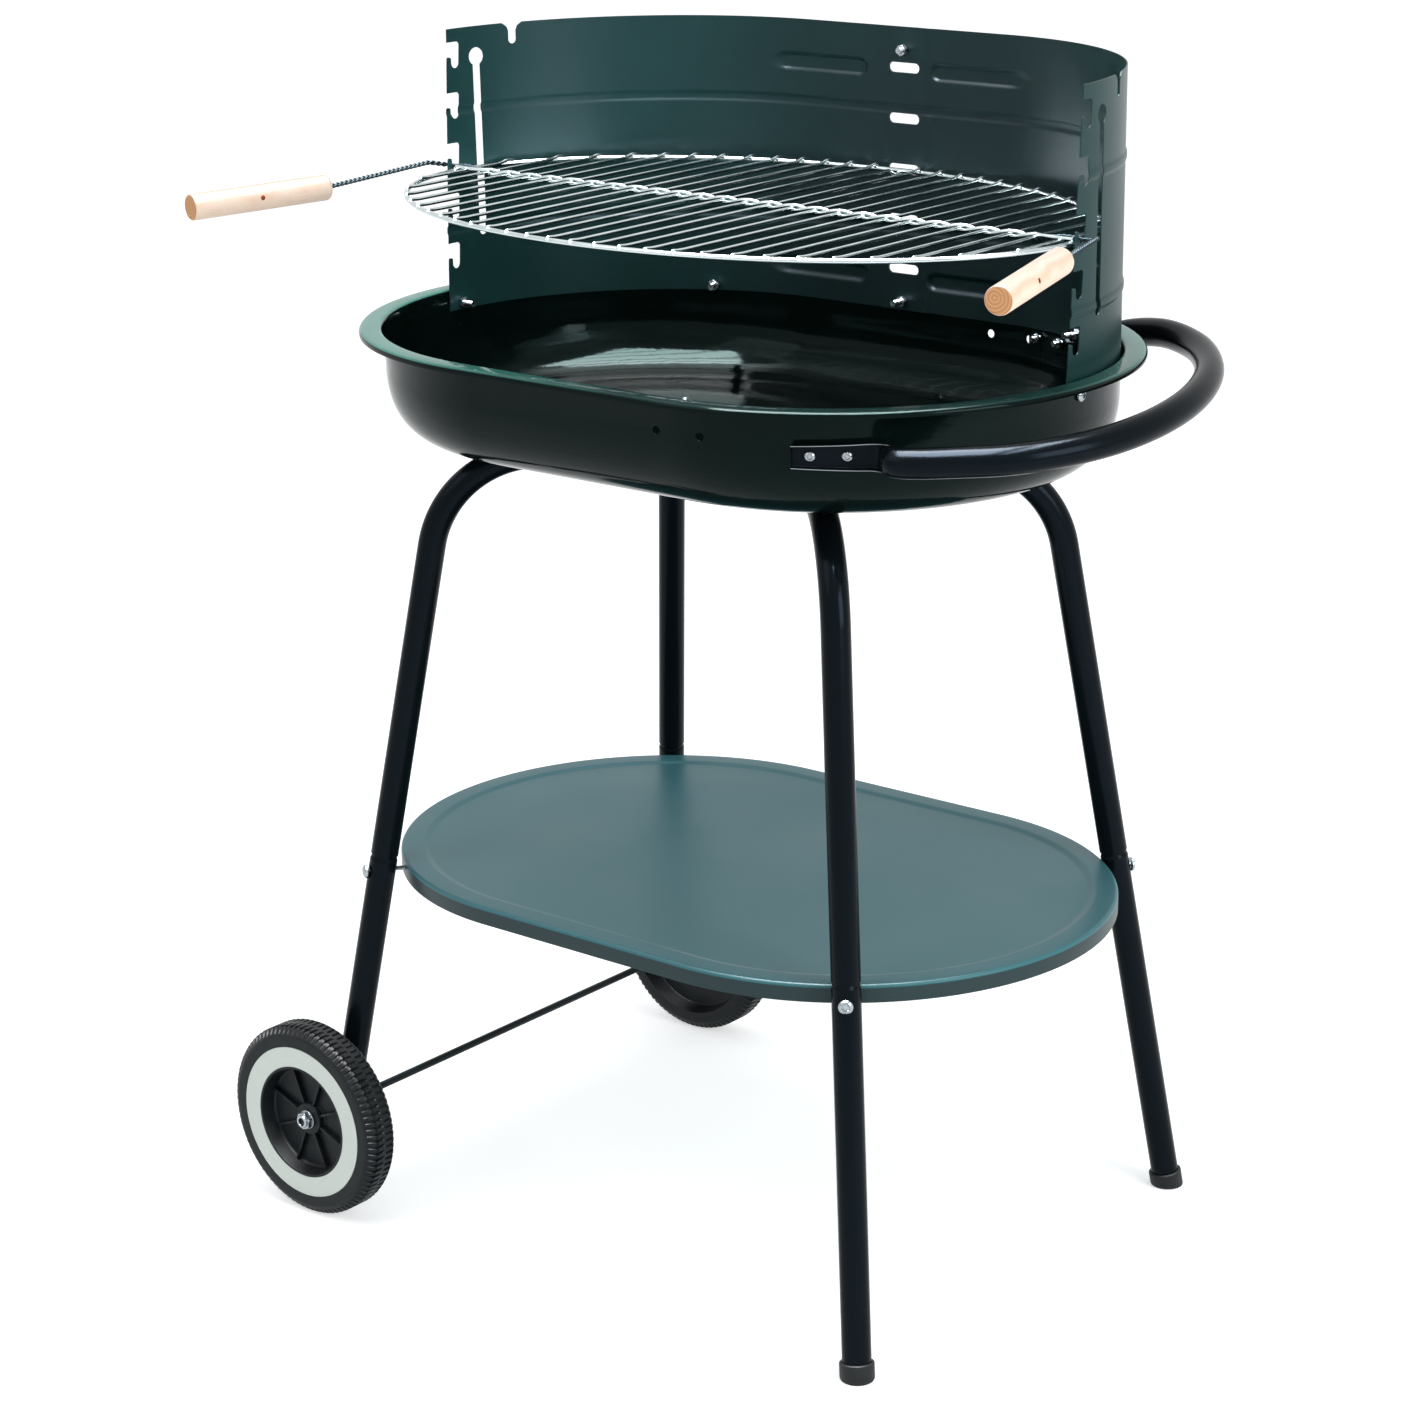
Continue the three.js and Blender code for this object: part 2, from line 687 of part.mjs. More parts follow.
function notchBottom(index) {
  return notchTop - index * notchPitch - notchDrop;
}

// Centre of a notch's round slot, as [y, z].
function slotCentre(index) {
  const height = notchBottom(index) + slotRadius;
  return [edgeY(height) + notchDepth - slotRadius, height];
}

// Everything in front of the free edge, with hooked notches that the grate's wire drops into.
function edgeCutter() {
  const shape = new THREE.Shape();
  const margin = bowlMouthRadius / 2;
  shape.moveTo(-margin, shieldBottom - cutPast);
  shape.lineTo(edgeY(shieldBottom), shieldBottom - cutPast);
  for (let index = notchCount - 1; index >= 0; index -= 1) {
    const top = notchTop - index * notchPitch;
    const edge = edgeY(top);
    const [slotY, slotZ] = slotCentre(index);
    shape.lineTo(edgeY(top - toothDrop - toothNose), top - toothDrop - toothNose);
    shape.lineTo(edge + toothSet, top - toothDrop);
    shape.lineTo(slotY - slotRadius, slotZ + toothHook);
    shape.absarc(slotY, slotZ, slotRadius, Math.PI, 2 * Math.PI, false);
    shape.absarc(edge + notchDepth - notchCorner, top - notchCorner, notchCorner, 0, Math.PI / 2, false);
    shape.lineTo(edge, top);
  }
  shape.lineTo(edgeY(shieldTop), shieldTop + cutPast);
  shape.lineTo(-margin, shieldTop + cutPast);
  shape.closePath();
  return shape;
}

// A round hole with a long slot below it.
function keyholeShape() {
  const shape = new THREE.Shape();
  const half = keySlotWidth / 2;
  const centre = keyholeTop - keyholeRadius;
  const spread = Math.asin(half / keyholeRadius);
  shape.moveTo(keyholeY - half, keyholeBottom + half);
  shape.absarc(keyholeY, keyholeBottom + half, half, Math.PI, 2 * Math.PI, false);
  shape.absarc(keyholeY, centre, keyholeRadius, spread - Math.PI / 2, 1.5 * Math.PI - spread, false);
  shape.closePath();
  return shape;
}

// A slot open at the windshield's top edge, with flared lips.
function topNotchShape() {
  const half = topNotchWidth / 2;
  const shape = new THREE.Shape();
  shape.moveTo(topNotchY + half + topNotchFlare, shieldTop + cutPast);
  shape.lineTo(topNotchY + half + topNotchFlare, shieldTop);
  shape.lineTo(topNotchY + half, shieldTop - topNotchLip);
  shape.absarc(topNotchY, shieldTop - topNotchDepth + half, half, 0, -Math.PI, true);
  shape.lineTo(topNotchY - half, shieldTop - topNotchLip);
  shape.lineTo(topNotchY - half - topNotchFlare, shieldTop);
  shape.lineTo(topNotchY - half - topNotchFlare, shieldTop + cutPast);
  shape.closePath();
  return shape;
}

function rearSlotHeightAt(index) {
  return shieldTop - rearSlotDrop - index * notchPitch;
}

function rearSlotShape(index) {
  const centre = rearSlotHeightAt(index);
  const radius = rearSlotHeight / 2;
  const run = rearSlotHalfLength - radius;
  const shape = new THREE.Shape();
  shape.moveTo(run, centre - radius);
  shape.absarc(run, centre, radius, -Math.PI / 2, Math.PI / 2, false);
  shape.absarc(-run, centre, radius, Math.PI / 2, 1.5 * Math.PI, false);
  shape.closePath();
  return shape;
}

function windshieldHalf(side, inner) {
  const reach = bowlMouthRadius;
  const near = bowlArcCentre + reach / 2;
  const tools = [edgeCutter(), keyholeShape(), topNotchShape()].map((shape) => (
    extrudeAlongX(shape, side > 0 ? near : -near - reach, reach)
  ));
  for (let index = 0; index < notchCount; index += 1) {
    tools.push(extrudeAlongY(rearSlotShape(index), shieldOuterBottom - cutPast, 2 * cutPast));
  }
  Object.values(seamBoltHeights).forEach((height) => {
    tools.push(drill(vector(0, shieldOuterBottom, height), vector(0, 1, 0), boltRadius + holeGap));
  });
  sideBolts.filter((bolt) => bolt.side === side).forEach((bolt) => {
    const { point, outward } = sideBoltPlace(bolt, shieldOuterBottom);
    tools.push(drill(point, outward, boltRadius + holeGap));
  });
  return cut(shieldHalf(side, inner), tools);
}

// ---- Windshield bolts ----

const shieldBolt = { shank: boltRadius, head: 5, headHeight: 3, nut: 8, nutHeight: 4 };

function addShieldBolts() {
  const inward = vector(0, -1, 0);
  const doubled = 2 * shieldSheet + seatGap;
  const upperFace = shieldOuterBottom
    + shieldOffset(90 * degrees, seamBoltHeights.upper);
  const lowerFace = bowlRadius(seamBoltHeights.lower + shieldBolt.head);
  const upperGrip = doubled + 3 * seatGap;
  const lowerInner = shieldOuterBottom - doubled;
  const lowerGrip = lowerFace - lowerInner + 2 * seatGap;
  addPiece('seam_bolt_upper', boltWithNut(
    vector(0, upperFace + seatGap, seamBoltHeights.upper), inward,
    { ...shieldBolt, grip: upperGrip, tail: 3 },
  ), zincSteel);
  addPiece('seam_bolt_lower', boltWithNut(
    vector(0, lowerFace + seatGap, seamBoltHeights.lower), inward,
    { ...shieldBolt, grip: lowerGrip, tail: 10 },
  ), zincSteel);
  sideBolts.forEach((bolt) => {
    const face = bowlRadius(shieldBottom + bolt.rise + shieldBolt.head);
    const grip = face - (shieldOuterBottom - shieldSheet) + 2 * seatGap;
    const { point, outward } = sideBoltPlace(bolt, face);
    point.addScaledVector(outward, seatGap);
    addPiece(bolt.name, boltWithNut(
      point, outward.negate(), { ...shieldBolt, grip, tail: 9 },
    ), zincSteel);
  });
}

// ---- Legs ----

const legTopAxis = bowlBottom - seatGap - legRadius;

// A point on a leg's line at a height.
function legPoint({ sideX, sideY, slope }, height) {
  const drop = legTopAxis - height;
  return vector(
    sideX * (legCorner[0] + slope[0] * drop), sideY * (legCorner[1] + slope[1] * drop), height,
  );
}

function legDirection({ sideX, sideY, slope }) {
  return vector(sideX * slope[0], sideY * slope[1], -1).normalize();
}

// The tube's section at its flattened end: the top stays level, the sides spread.
function padSection(amount) {
  const halfThick = THREE.MathUtils.lerp(legRadius, padThickness / 2, amount);
  const halfWide = THREE.MathUtils.lerp(legRadius, padHalfWidth, amount);
  return circleSection(1, legSides).map(([a, b]) => [
    a * halfWide, b * halfThick + legRadius - halfThick,
  ]);
}

function legUpper(leg) {
  const corner = legPoint(leg, legTopAxis);
  const bolt = legBoltPoint(leg.sideX, leg.sideY, leg.slope);
  bolt.z = legTopAxis;
  const outward = vector().subVectors(corner, bolt).normalize();
  const end = legPoint(leg, legJoint);
  const down = legDirection(leg);
  const inner = bolt.clone().addScaledVector(outward, -padLength);
  const path = roundedPath([inner, corner, end], legBendRadius, 5).slice(1);
  const tangents = pathTangents([inner, ...path]).slice(1);
  const side = vector().crossVectors(outward, vector(0, 0, 1));
  const level = [
    { at: -padLength, amount: 1 }, { at: padFlat, amount: 1 },
    { at: padFlat + padTaper / 2, amount: 0.45 }, { at: padFlat + padTaper, amount: 0 },
  ].map(({ at, amount }) => {
    const point = bolt.clone().addScaledVector(outward, at);
    return ringAcross(point, outward, vector(0, 0, 1), padSection(amount));
  });
  const round = circleSection(legRadius, legSides);
  const bent = path.map((point, i) => {
    const up = vector().crossVectors(side, tangents[i]);
    return ringAcross(point, tangents[i], up, round);
  });
  const up = vector().crossVectors(side, down);
  const bore = circleSection(legRadius - neckRecess + seatGap, legSides);
  const socket = [end, end.clone().addScaledVector(down, neckShow - neckLength - socketRoom)]
    .map((point) => ringAcross(point, down, up, bore));
  const drillHole = drill(bolt, vector(0, 0, 1), boltRadius + holeGap);
  return cut(loft([...level, ...bent, ...socket]), [drillHole]);
}

function shelfScrewHeight() {
  return shelfTop - shelfScrewDrop;
}

// Where a shelf screw crosses its leg, square to a facet of the shelf's edge.
function shelfScrewPlace(leg) {
  const { outward } = onFacet(leg.sideX, leg.sideY, shelfScrewFacet, 0, 0, 0);
  return { point: legPoint(leg, shelfScrewHeight()), outward };
}

function legLower(leg) {
  const wheeled = leg.sideX < 0;
  const foot = legPoint(leg, wheeled ? wheelRadius - wheelLegEnd : capFloor + capRoom);
  const down = legDirection(leg);
  const joint = legPoint(leg, legJoint);
  const up = vector().crossVectors(vector(0, 0, 1), down).cross(down).normalize();
  const neck = circleSection(legRadius - neckRecess, legSides);
  const full = circleSection(legRadius, legSides);
  const open = circleSection(legRadius - neckRecess, legSides);
  const rings = [
    { point: joint.clone().addScaledVector(down, neckShow - neckLength), section: neck },
    { point: joint.clone().addScaledVector(down, neckShow - neckRecess), section: neck },
    { point: joint.clone().addScaledVector(down, neckShow), section: full },
    { point: foot, section: full },
    { point: foot, section: open },
    { point: foot.clone().addScaledVector(down, -tubeMouth), section: open },
  ].map(({ point, section }) => ringAcross(point, down, up, section));
  const { point, outward } = shelfScrewPlace(leg);
  const tools = [drill(point, outward, screwRadius + holeGap)];
  if (wheeled) {
    tools.push(drill(legPoint(leg, wheelRadius), vector(0, 1, 0), axleRadius + holeGap));
  }
  return cut(loft(rings), tools);
}

function footCap(leg) {
  const down = legDirection(leg);
  const up = vector().crossVectors(vector(0, 0, 1), down).cross(down).normalize();
  const outer = circleSection(legRadius + seatGap + capWall, legSides);
  const inner = circleSection(legRadius + seatGap, legSides);
  const top = legPoint(leg, capHeight);
  const floorRing = ringAcross(legPoint(leg, 0), down, up, outer).map((point) => (
    point.addScaledVector(down, point.z / -down.z)
  ));
  return loft([
    floorRing,
    ringAcross(top, down, up, outer),
    ringAcross(top, down, up, inner),
    ringAcross(legPoint(leg, capFloor + capRoom).addScaledVector(down, seatGap), down, up, inner),
  ]);
}

function legBolt(leg) {
  const point = legBoltPoint(leg.sideX, leg.sideY, leg.slope);
  point.z = bowlBottom - seatGap - padThickness - seatGap;
  return boltWithNut(point, vector(0, 0, 1), {
    shank: boltRadius, head: 6, headHeight: 3.5, nut: 10, nutHeight: 5, tail: 3,
    grip: padThickness + bowlSheet + 3 * seatGap,
  });
}

function shelfScrew(leg) {
  const { point, outward } = shelfScrewPlace(leg);
  const head = point.clone().addScaledVector(outward, legRadius + seatGap + screwLeanRoom);
  const reach = head.clone().setX(head.x - leg.sideX * shelfArcCentre).dot(outward);
  return boltWithNut(head, outward.negate(), {
    shank: screwRadius, head: 5.5, headHeight: 3.2, nut: 6, nutHeight: 3.2, tail: 3,
    grip: reach - shelfRadius * facetDepth + shelfSheet + 2 * seatGap,
  });
}

// ---- Shelf ----

// The shelf fills the room between the handle end's legs.
const shelfLeg = legPoint(legs[1], shelfTop);
const shelfRadius = (Math.hypot(shelfLeg.x - shelfArcCentre, shelfLeg.y) - legRadius - seatGap) / facetDepth;

function shelfLine() {
  const under = shelfTop - shelfSheet;
  const wall = shelfRadius - shelfSheet;
  const middle = shelfRadius - shelfGroove;
  const half = shelfGrooveWidth / 2;
  return [
    [middle - half, under],
    [middle, under - shelfGrooveDepth],
    [middle + half, under],
    [wall - shelfFillet, under],
    [wall, under - shelfFillet],
    [wall, shelfTop - shelfSkirt],
  ];
}

function shelf() {
  const tools = legs.map((leg) => {
    const { point, outward } = shelfScrewPlace(leg);
    const skirt = point.clone().addScaledVector(outward, -legRadius);
    return drill(skirt, outward, screwRadius + holeGap, 2 * cutPast);
  });
  return cut(ovalPressing(shelfArcCentre, shelfLine(), shelfSheet), tools);
}

// ---- Wheels and axle ----

const wheelLeg = legs.find(({ name }) => name === 'wheel_back');
const axleX = legPoint(wheelLeg, wheelRadius).x;
const wheelFace = legPoint(wheelLeg, wheelRadius).y + wheelStandOff;
const wheelMiddle = wheelFace - wheelWidth / 2;

// Turns a lathe geometry, made about +Y, so that its outer face looks to the given side.
function ontoAxle(geometry, side) {
  if (side < 0) {
    geometry.rotateX(Math.PI);
  }
  geometry.translate(axleX, side * wheelMiddle, wheelRadius);
  return geometry;
}

function lathe(line, steps) {
  return new THREE.LatheGeometry(line.map(([radius, height]) => new THREE.Vector2(radius, height)), steps);
}

function wheel(side) {
  const face = wheelWidth / 2;
  const bore = (axleRadius + runningGap) / Math.cos(Math.PI / wheelSteps);
  const webOuter = face - dishDepth;
  const webInner = webOuter - webThickness;
  const hubFace = webOuter + hubRise;
  const legSide = legPoint(wheelLeg, wheelRadius - hubSeat).y - legRadius / legDirection(wheelLeg).z;
  const hubInner = legSide + seatGap - wheelMiddle;
  const seat = face - ringThickness;
  const profile = [
    [bore, hubInner], [bore, hubFace], [hubRadius, hubFace], [hubRadius + 1, webOuter],
    [ringInner - wallStep, webOuter], [ringInner - wallLip, face],
    [ringInner - seatGap, face], [ringInner - seatGap, seat - seatGap],
    [ringOuter + seatGap, seat - seatGap], [ringOuter + seatGap, face],
    [wheelRadius - treadShoulder - treadFall, face], [wheelRadius, face - treadShoulder],
    [wheelRadius, treadShoulder - face],
    [wheelRadius - treadShoulder - treadFall, -face],
    [ringOuter, -face], [ringOuter - wallStep, webInner], [hubRadius, webInner], [hubSeat, hubInner],
    [bore, hubInner],
  ].reverse();
  const body = lathe(profile, wheelSteps);
  const spokes = Array.from({ length: spokeCount }, (_, i) => {
    const wall = ringInner - wallStep;
    const spoke = new THREE.BoxGeometry(wall - hubRadius + 4 * spokeRoot, spokeHeight, spokeThickness);
    spoke.translate((wall + hubRadius) / 2, webOuter + spokeHeight / 2 - spokeRoot, 0);
    return spoke.rotateY((2 * Math.PI * i) / spokeCount);
  });
  return ontoAxle(join([body, ...spokes]), side);
}

function wheelRing(side) {
  const face = wheelWidth / 2;
  return ontoAxle(lathe([
    [ringInner, face - ringThickness], [ringOuter, face - ringThickness],
    [ringOuter, face], [ringInner, face], [ringInner, face - ringThickness],
  ], wheelSteps), side);
}

function axle() {
  const ends = wheelFace - axleEndIn;
  return bar(vector(axleX, -ends, wheelRadius), vector(axleX, ends, wheelRadius), axleRadius, 16);
}

// Twelve points, with every second one at the corner's radius.
function cornerRing(radius, height, corner = radius) {
  return Array.from({ length: 12 }, (_, i) => {
    const reach = i % 2 === 0 ? corner : radius;
    return vector(reach * Math.cos(i * 30 * degrees), reach * Math.sin(i * 30 * degrees), height);
  });
}

// A washer and a six-sided nut on the axle's end, outside the wheel's hub.
function axleNut(side) {
  const base = wheelWidth / 2 - dishDepth + hubRise + seatGap;
  const bore = axleRadius + seatGap;
  const nutBase = base + washerThickness;
  const nutTop = nutBase + axleNutHeight;
  const corner = axleNutSize / 2 / Math.cos(30 * degrees);
  const rings = [
    cornerRing(bore, base), cornerRing(washerRadius, base), cornerRing(washerRadius, nutBase),
    cornerRing(axleNutSize / 2, nutBase, corner), cornerRing(axleNutSize / 2, nutTop, corner),
    cornerRing(bore, nutTop),
  ];
  const geometry = loft(rings, true);
  geometry.rotateX(-Math.PI / 2);
  return ontoAxle(geometry, side);
}

// ---- Push handle ----

const handleSides = 16;
const handleStep = 2 / 3; // rings per point along the bend

// The tube's section, pressed in from outside to a shallow trough as the amount goes to 1.
// Points are [outward, up] from the tube's centre.
function troughSection(amount, halfHeight) {
  const web = [-handleRadius + handleWeb, -handleRadius];
  const lip = -handleRadius + lipReach;
  const upper = [
    [web[0], 0.45], [web[0] + 0.6, 0.72], [lip - 0.6, 0.86], [lip, 0.97],
    [lip - 2.4, 1], [web[1] + 2, 0.95], [web[1], 0.7],
  ];
  const lower = upper.map(([outward, up]) => [outward, -up]).reverse();
  const pressed = [[web[0], 0], ...upper, [web[1], 0], ...lower];
  return pressed.map(([outward, up], i) => {
    const angle = (2 * Math.PI * i) / handleSides;
    return [
      THREE.MathUtils.lerp(handleRadius * Math.cos(angle), outward, amount),
      THREE.MathUtils.lerp(handleRadius * Math.sin(angle), up * halfHeight, amount),
    ];
  });
}

// The rings of one pressed end, from its tip to where the tube is round.
function troughRings({ place }) {
  const [end, start] = handleTrough;
  const [narrow, wide] = troughHalfHeights;
  return [end, end - troughFlat, start + troughRunOut, start].map((along, i) => {
    const { point, outward } = place(along);
    point.addScaledVector(outward, handleRadius);
    const spread = (end - along) / (end - start);
    const section = troughSection(i < 3 ? 1 : 0.75, THREE.MathUtils.lerp(narrow, wide, spread));
    return { point, outward, section };
  });
}

function pushHandle() {
  const upward = vector(0, 0, 1);
  const [front, rear] = handleEnds.map(troughRings);
  const bends = handleBend.map(([angle, past, rise]) => {
    const reach = bowlRimRadius + past;
    return vector(bowlArcCentre + reach * Math.cos(angle * degrees), reach * Math.sin(angle * degrees),
      handleHeight + rise);
  });
  const free = new THREE.CatmullRomCurve3([
    front[1].point, front[3].point, ...bends, rear[3].point, rear[1].point,
  ]);
  const spans = free.points.length - 1;
  const bend = [];
  for (let i = 2; i <= spans - 2; i += handleStep) {
    const tangent = free.getTangent(i / spans);
    bend.push({
      point: free.getPoint(i / spans), outward: vector().crossVectors(tangent, upward).normalize(),
      section: troughSection(0, 1),
    });
  }
  const rings = [...front, ...bend, ...rear.reverse()].map(({ point, outward, section }) => (
    section.map(([out, up]) => point.clone().addScaledVector(outward, out).addScaledVector(upward, up))
  ));
  const tools = handleScrewPlaces().map(({ point, outward }) => (
    drill(point, outward, screwRadius + holeGap)
  ));
  return cut(loft(rings), tools);
}

function handleScrew({ leanRoom, point, outward }) {
  const head = point.clone().addScaledVector(outward, handleWeb + seatGap);
  return boltWithNut(head, outward.clone().negate(), {
    shank: screwRadius, head: 4, headHeight: 2.4, nut: 7, nutHeight: 3.2, tail: 3,
    grip: handleWeb + bowlSheet + 2 * seatGap + leanRoom + nutRoom,
  });
}

// ---- Grate ----

const slotThree = slotCentre(grateNotch);
const spineY = slotThree[0];
const wireInNotch = notchBottom(grateNotch) + handleWireRadius + seatGap;
const grateHeight = wireInNotch - 1.3;
const rimHeight = grateHeight - rodRadius;
const twistRise = rodRadius + spineRadius + wireGap;
const tongueHeight = rearSlotHeightAt(grateNotch) - rearSlotHeight / 2 + rodRadius + seatGap;

function rimPoint(angle) {
  return vector(grateHalfLength * Math.cos(angle), grateCentreY + grateHalfDepth * Math.sin(angle), rimHeight);
}

function grateRim() {
  const steps = 44;
  const section = circleSection(rimWire, 4);
  const rings = Array.from({ length: steps }, (_, i) => {
    const angle = (2 * Math.PI * i) / steps;
    const tangent = vector(-grateHalfLength * Math.sin(angle), grateHalfDepth * Math.cos(angle), 0).normalize();
    return ringAcross(rimPoint(angle), tangent, vector(0, 0, 1), section);
  });
  return loft(rings, true);
}

// One end of a rod, laid over the rim and hooked down outside it.
function rodEnd(x, side) {
  const reach = grateHalfDepth * Math.sqrt(1 - (x / grateHalfLength) ** 2);
  const over = rimHeight + rimWire + rodRadius - 0.5;
  const wrap = rimWire + rodRadius - 0.4;
  const steep = Math.min(3, 1 / Math.sqrt(1 - (x / grateHalfLength) ** 2));
  return [
    [reach - 9, grateHeight], [reach - 0.5, over], [reach + wrap * steep, rimHeight - hookDrop],
  ].map(([y, z]) => vector(x, grateCentreY + side * y, z));
}

// The middle rod's rear end dips under the rim and reaches through the rear slot.
function tongueEnd() {
  const under = rimHeight - rimWire - rodRadius + 0.5;
  const out = shieldOuterBottom + shieldLean + tongueReach;
  return [
    [grateHalfDepth - 12, grateHeight], [grateHalfDepth - 3, under], [grateHalfDepth + 2, under],
    [grateHalfDepth + 6, tongueHeight], [out - grateCentreY, tongueHeight],
  ].map(([y, z]) => vector(0, grateCentreY + y, z));
}

function grateRod(index) {
  const x = index * rodPitch;
  const back = index === 0 ? tongueEnd() : rodEnd(x, 1);
  const path = [...rodEnd(x, -1).reverse(), ...back];
  return wire(path, rodRadius, 4, vector(1, 0, 0));
}

// One of the two wires that cross between the rods and hold each of them in a loop.
function spineWire(phase) {
  const end = Math.floor((grateHalfLength - spineEndIn) / rodPitch) * rodPitch;
  const steps = 2 * ((2 * end) / rodPitch);
  const path = Array.from({ length: steps + 1 }, (_, i) => {
    const x = -end + (2 * end * i) / steps;
    const turn = (Math.PI * x) / rodPitch;
    return vector(
      x,
      spineY + phase * (spineRadius + wireGap) * Math.sin(turn),
      grateHeight + phase * twistRise * Math.cos(turn),
    );
  });
  return wire(path, spineRadius, 5, vector(0, 0, 1));
}

function gripPoint(side, [past, y, rise]) {
  return vector(side * (grateHalfLength + past), y, wireInNotch + rise);
}

// The wire from the twist over the rim and through the notch, bent forward into the grip.
function gripWire({ side, ...bends }) {
  const [corner, near, far] = [bends.corner, bends.near, bends.far].map((bend) => gripPoint(side, bend));
  const twistEnd = Math.floor((grateHalfLength - spineEndIn) / rodPitch) * rodPitch;
  const low = grateHeight - twistRise * Math.cos((Math.PI * twistEnd) / rodPitch);
  const grip = vector().subVectors(far, near).normalize();
  const insideGrip = near.clone().addScaledVector(grip, gripBoreDepth - 3);
  const path = [
    vector(side * (twistEnd - 2), spineY, low),
    vector(side * (grateHalfLength - 8), spineY, wireInNotch + 0.7),
    vector(side * (grateHalfLength + 6), spineY, wireInNotch),
    vector(side * (grateHalfLength + 15), spineY, wireInNotch + 0.5),
  ];
  const bend = new THREE.QuadraticBezierCurve3(
    vector(corner.x - side * 7, spineY, corner.z - 1), corner,
    corner.clone().addScaledVector(vector().subVectors(near, corner).normalize(), 10),
  );
  path.push(...bend.getPoints(4), near, insideGrip);
  return wire(path, handleWireRadius, 6, vector(0, 0, 1));
}

// The second twisted wire ends just inside the rim, laid on it.
function spineTail(side) {
  const twistEnd = Math.floor((grateHalfLength - spineEndIn) / rodPitch) * rodPitch;
  const high = grateHeight + twistRise * Math.cos((Math.PI * twistEnd) / rodPitch);
  return wire([
    vector(side * (twistEnd - 2), spineY, high),
    vector(side * (grateHalfLength - 12), spineY - 3, grateHeight + 0.8),
    vector(side * (grateHalfLength + 1), spineY - 4, rimHeight + 1.5),
  ], spineRadius, 5, vector(0, 0, 1));
}

function cookingGrate() {
  const rods = Array.from({ length: 2 * rodPairs + 1 }, (_, i) => grateRod(i - rodPairs));
  return join([
    grateRim(), ...rods, spineWire(1), spineWire(-1),
    spineTail(-1), spineTail(1), gripWire(gripBends.left), gripWire(gripBends.right),
  ]);
}

function woodenGrip({ side, ...bends }) {
  const [near, far] = [bends.near, bends.far].map((bend) => gripPoint(side, bend));
  const axis = vector().subVectors(far, near);
  const length = axis.length();
  const bore = handleWireRadius + seatGap;
  const geometry = lathe([
    [0, gripBoreDepth], [bore, gripBoreDepth], [bore, 0], [gripRadius - gripRound, 0],
    [gripRadius - gripRound * 0.3, gripRound * 0.3], [gripRadius, gripRound],
    [gripRadius, length - 1], [gripRadius - 1, length], [0, length],
  ], 20);
  geometry.applyQuaternion(new THREE.Quaternion().setFromUnitVectors(vector(0, 1, 0), axis.normalize()));
  geometry.translate(...near.toArray());
  return geometry;
}

// ---- Assembly ----

addPiece('fire_bowl', fireBowl(), enamel);
addPiece('windshield_left', windshieldHalf(-1, false), satinSteel);
addPiece('windshield_right', windshieldHalf(1, true), satinSteel);
addShieldBolts();
legs.forEach((leg) => {
  addPiece(`leg_upper_${leg.name}`, legUpper(leg), satinTube);
  addPiece(`leg_lower_${leg.name}`, legLower(leg), satinTube);
  addPiece(`leg_bolt_${leg.name}`, legBolt(leg), zincSteel);
  addPiece(`shelf_screw_${leg.name}`, shelfScrew(leg), zincSteel);
});
legs.filter(({ sideX }) => sideX > 0).forEach((leg) => {
  addPiece(`foot_cap_${leg.name}`, footCap(leg), blackPlastic);
});
addPiece('shelf', shelf(), shelfPaint);
addPiece('axle', axle(), satinTube);
[['front', -1], ['back', 1]].forEach(([place, side]) => {
  addPiece(`wheel_${place}`, wheel(side), blackPlastic);
  addPiece(`wheel_ring_${place}`, wheelRing(side), palePlastic);
  addPiece(`axle_nut_${place}`, axleNut(side), zincSteel);
});
addPiece('push_handle', pushHandle(), satinTube);
handleScrewPlaces().forEach((place, i) => {
  addPiece(`handle_screw_${i + 1}`, handleScrew(place), zincSteel);
});
addPiece('cooking_grate', cookingGrate(), chromeWire);
addPiece('wooden_grip_left', woodenGrip(gripBends.left), beech);
addPiece('wooden_grip_right', woodenGrip(gripBends.right), beech);

// The frame's origin is under the middle of the whole part.
grill.position.x = -new THREE.Box3().setFromObject(grill).getCenter(vector()).x;

export default grill;
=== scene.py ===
import bmesh
import bpy
import numpy as np
from mathutils import Matrix, Vector


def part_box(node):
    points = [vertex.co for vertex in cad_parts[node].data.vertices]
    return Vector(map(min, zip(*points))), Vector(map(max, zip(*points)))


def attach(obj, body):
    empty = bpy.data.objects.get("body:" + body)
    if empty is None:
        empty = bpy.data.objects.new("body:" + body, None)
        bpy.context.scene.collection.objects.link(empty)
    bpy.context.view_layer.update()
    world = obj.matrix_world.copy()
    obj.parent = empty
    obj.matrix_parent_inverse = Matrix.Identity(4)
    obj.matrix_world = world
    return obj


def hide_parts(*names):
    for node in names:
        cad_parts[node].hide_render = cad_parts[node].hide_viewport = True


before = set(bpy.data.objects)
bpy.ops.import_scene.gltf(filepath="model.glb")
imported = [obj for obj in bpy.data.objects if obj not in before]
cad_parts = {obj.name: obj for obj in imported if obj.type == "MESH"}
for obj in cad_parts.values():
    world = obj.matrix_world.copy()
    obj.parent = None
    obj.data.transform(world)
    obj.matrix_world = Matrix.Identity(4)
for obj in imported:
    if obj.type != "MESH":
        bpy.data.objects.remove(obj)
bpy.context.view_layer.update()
print("frame loaded")


# Shared shape tools. Every length here is in millimetres, and newMesh turns it to metres.

def boxOf(node):
    low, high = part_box(node)
    return np.array(low) * 1000, np.array(high) * 1000


def unit(vectors):
    return vectors / np.linalg.norm(vectors, axis=-1, keepdims=True)


def smoothStep(t):  # 3t2 - 2t3 between 0 and 1, flat outside
    t = np.clip(t, 0, 1)
    return t * t * (3 - 2 * t)


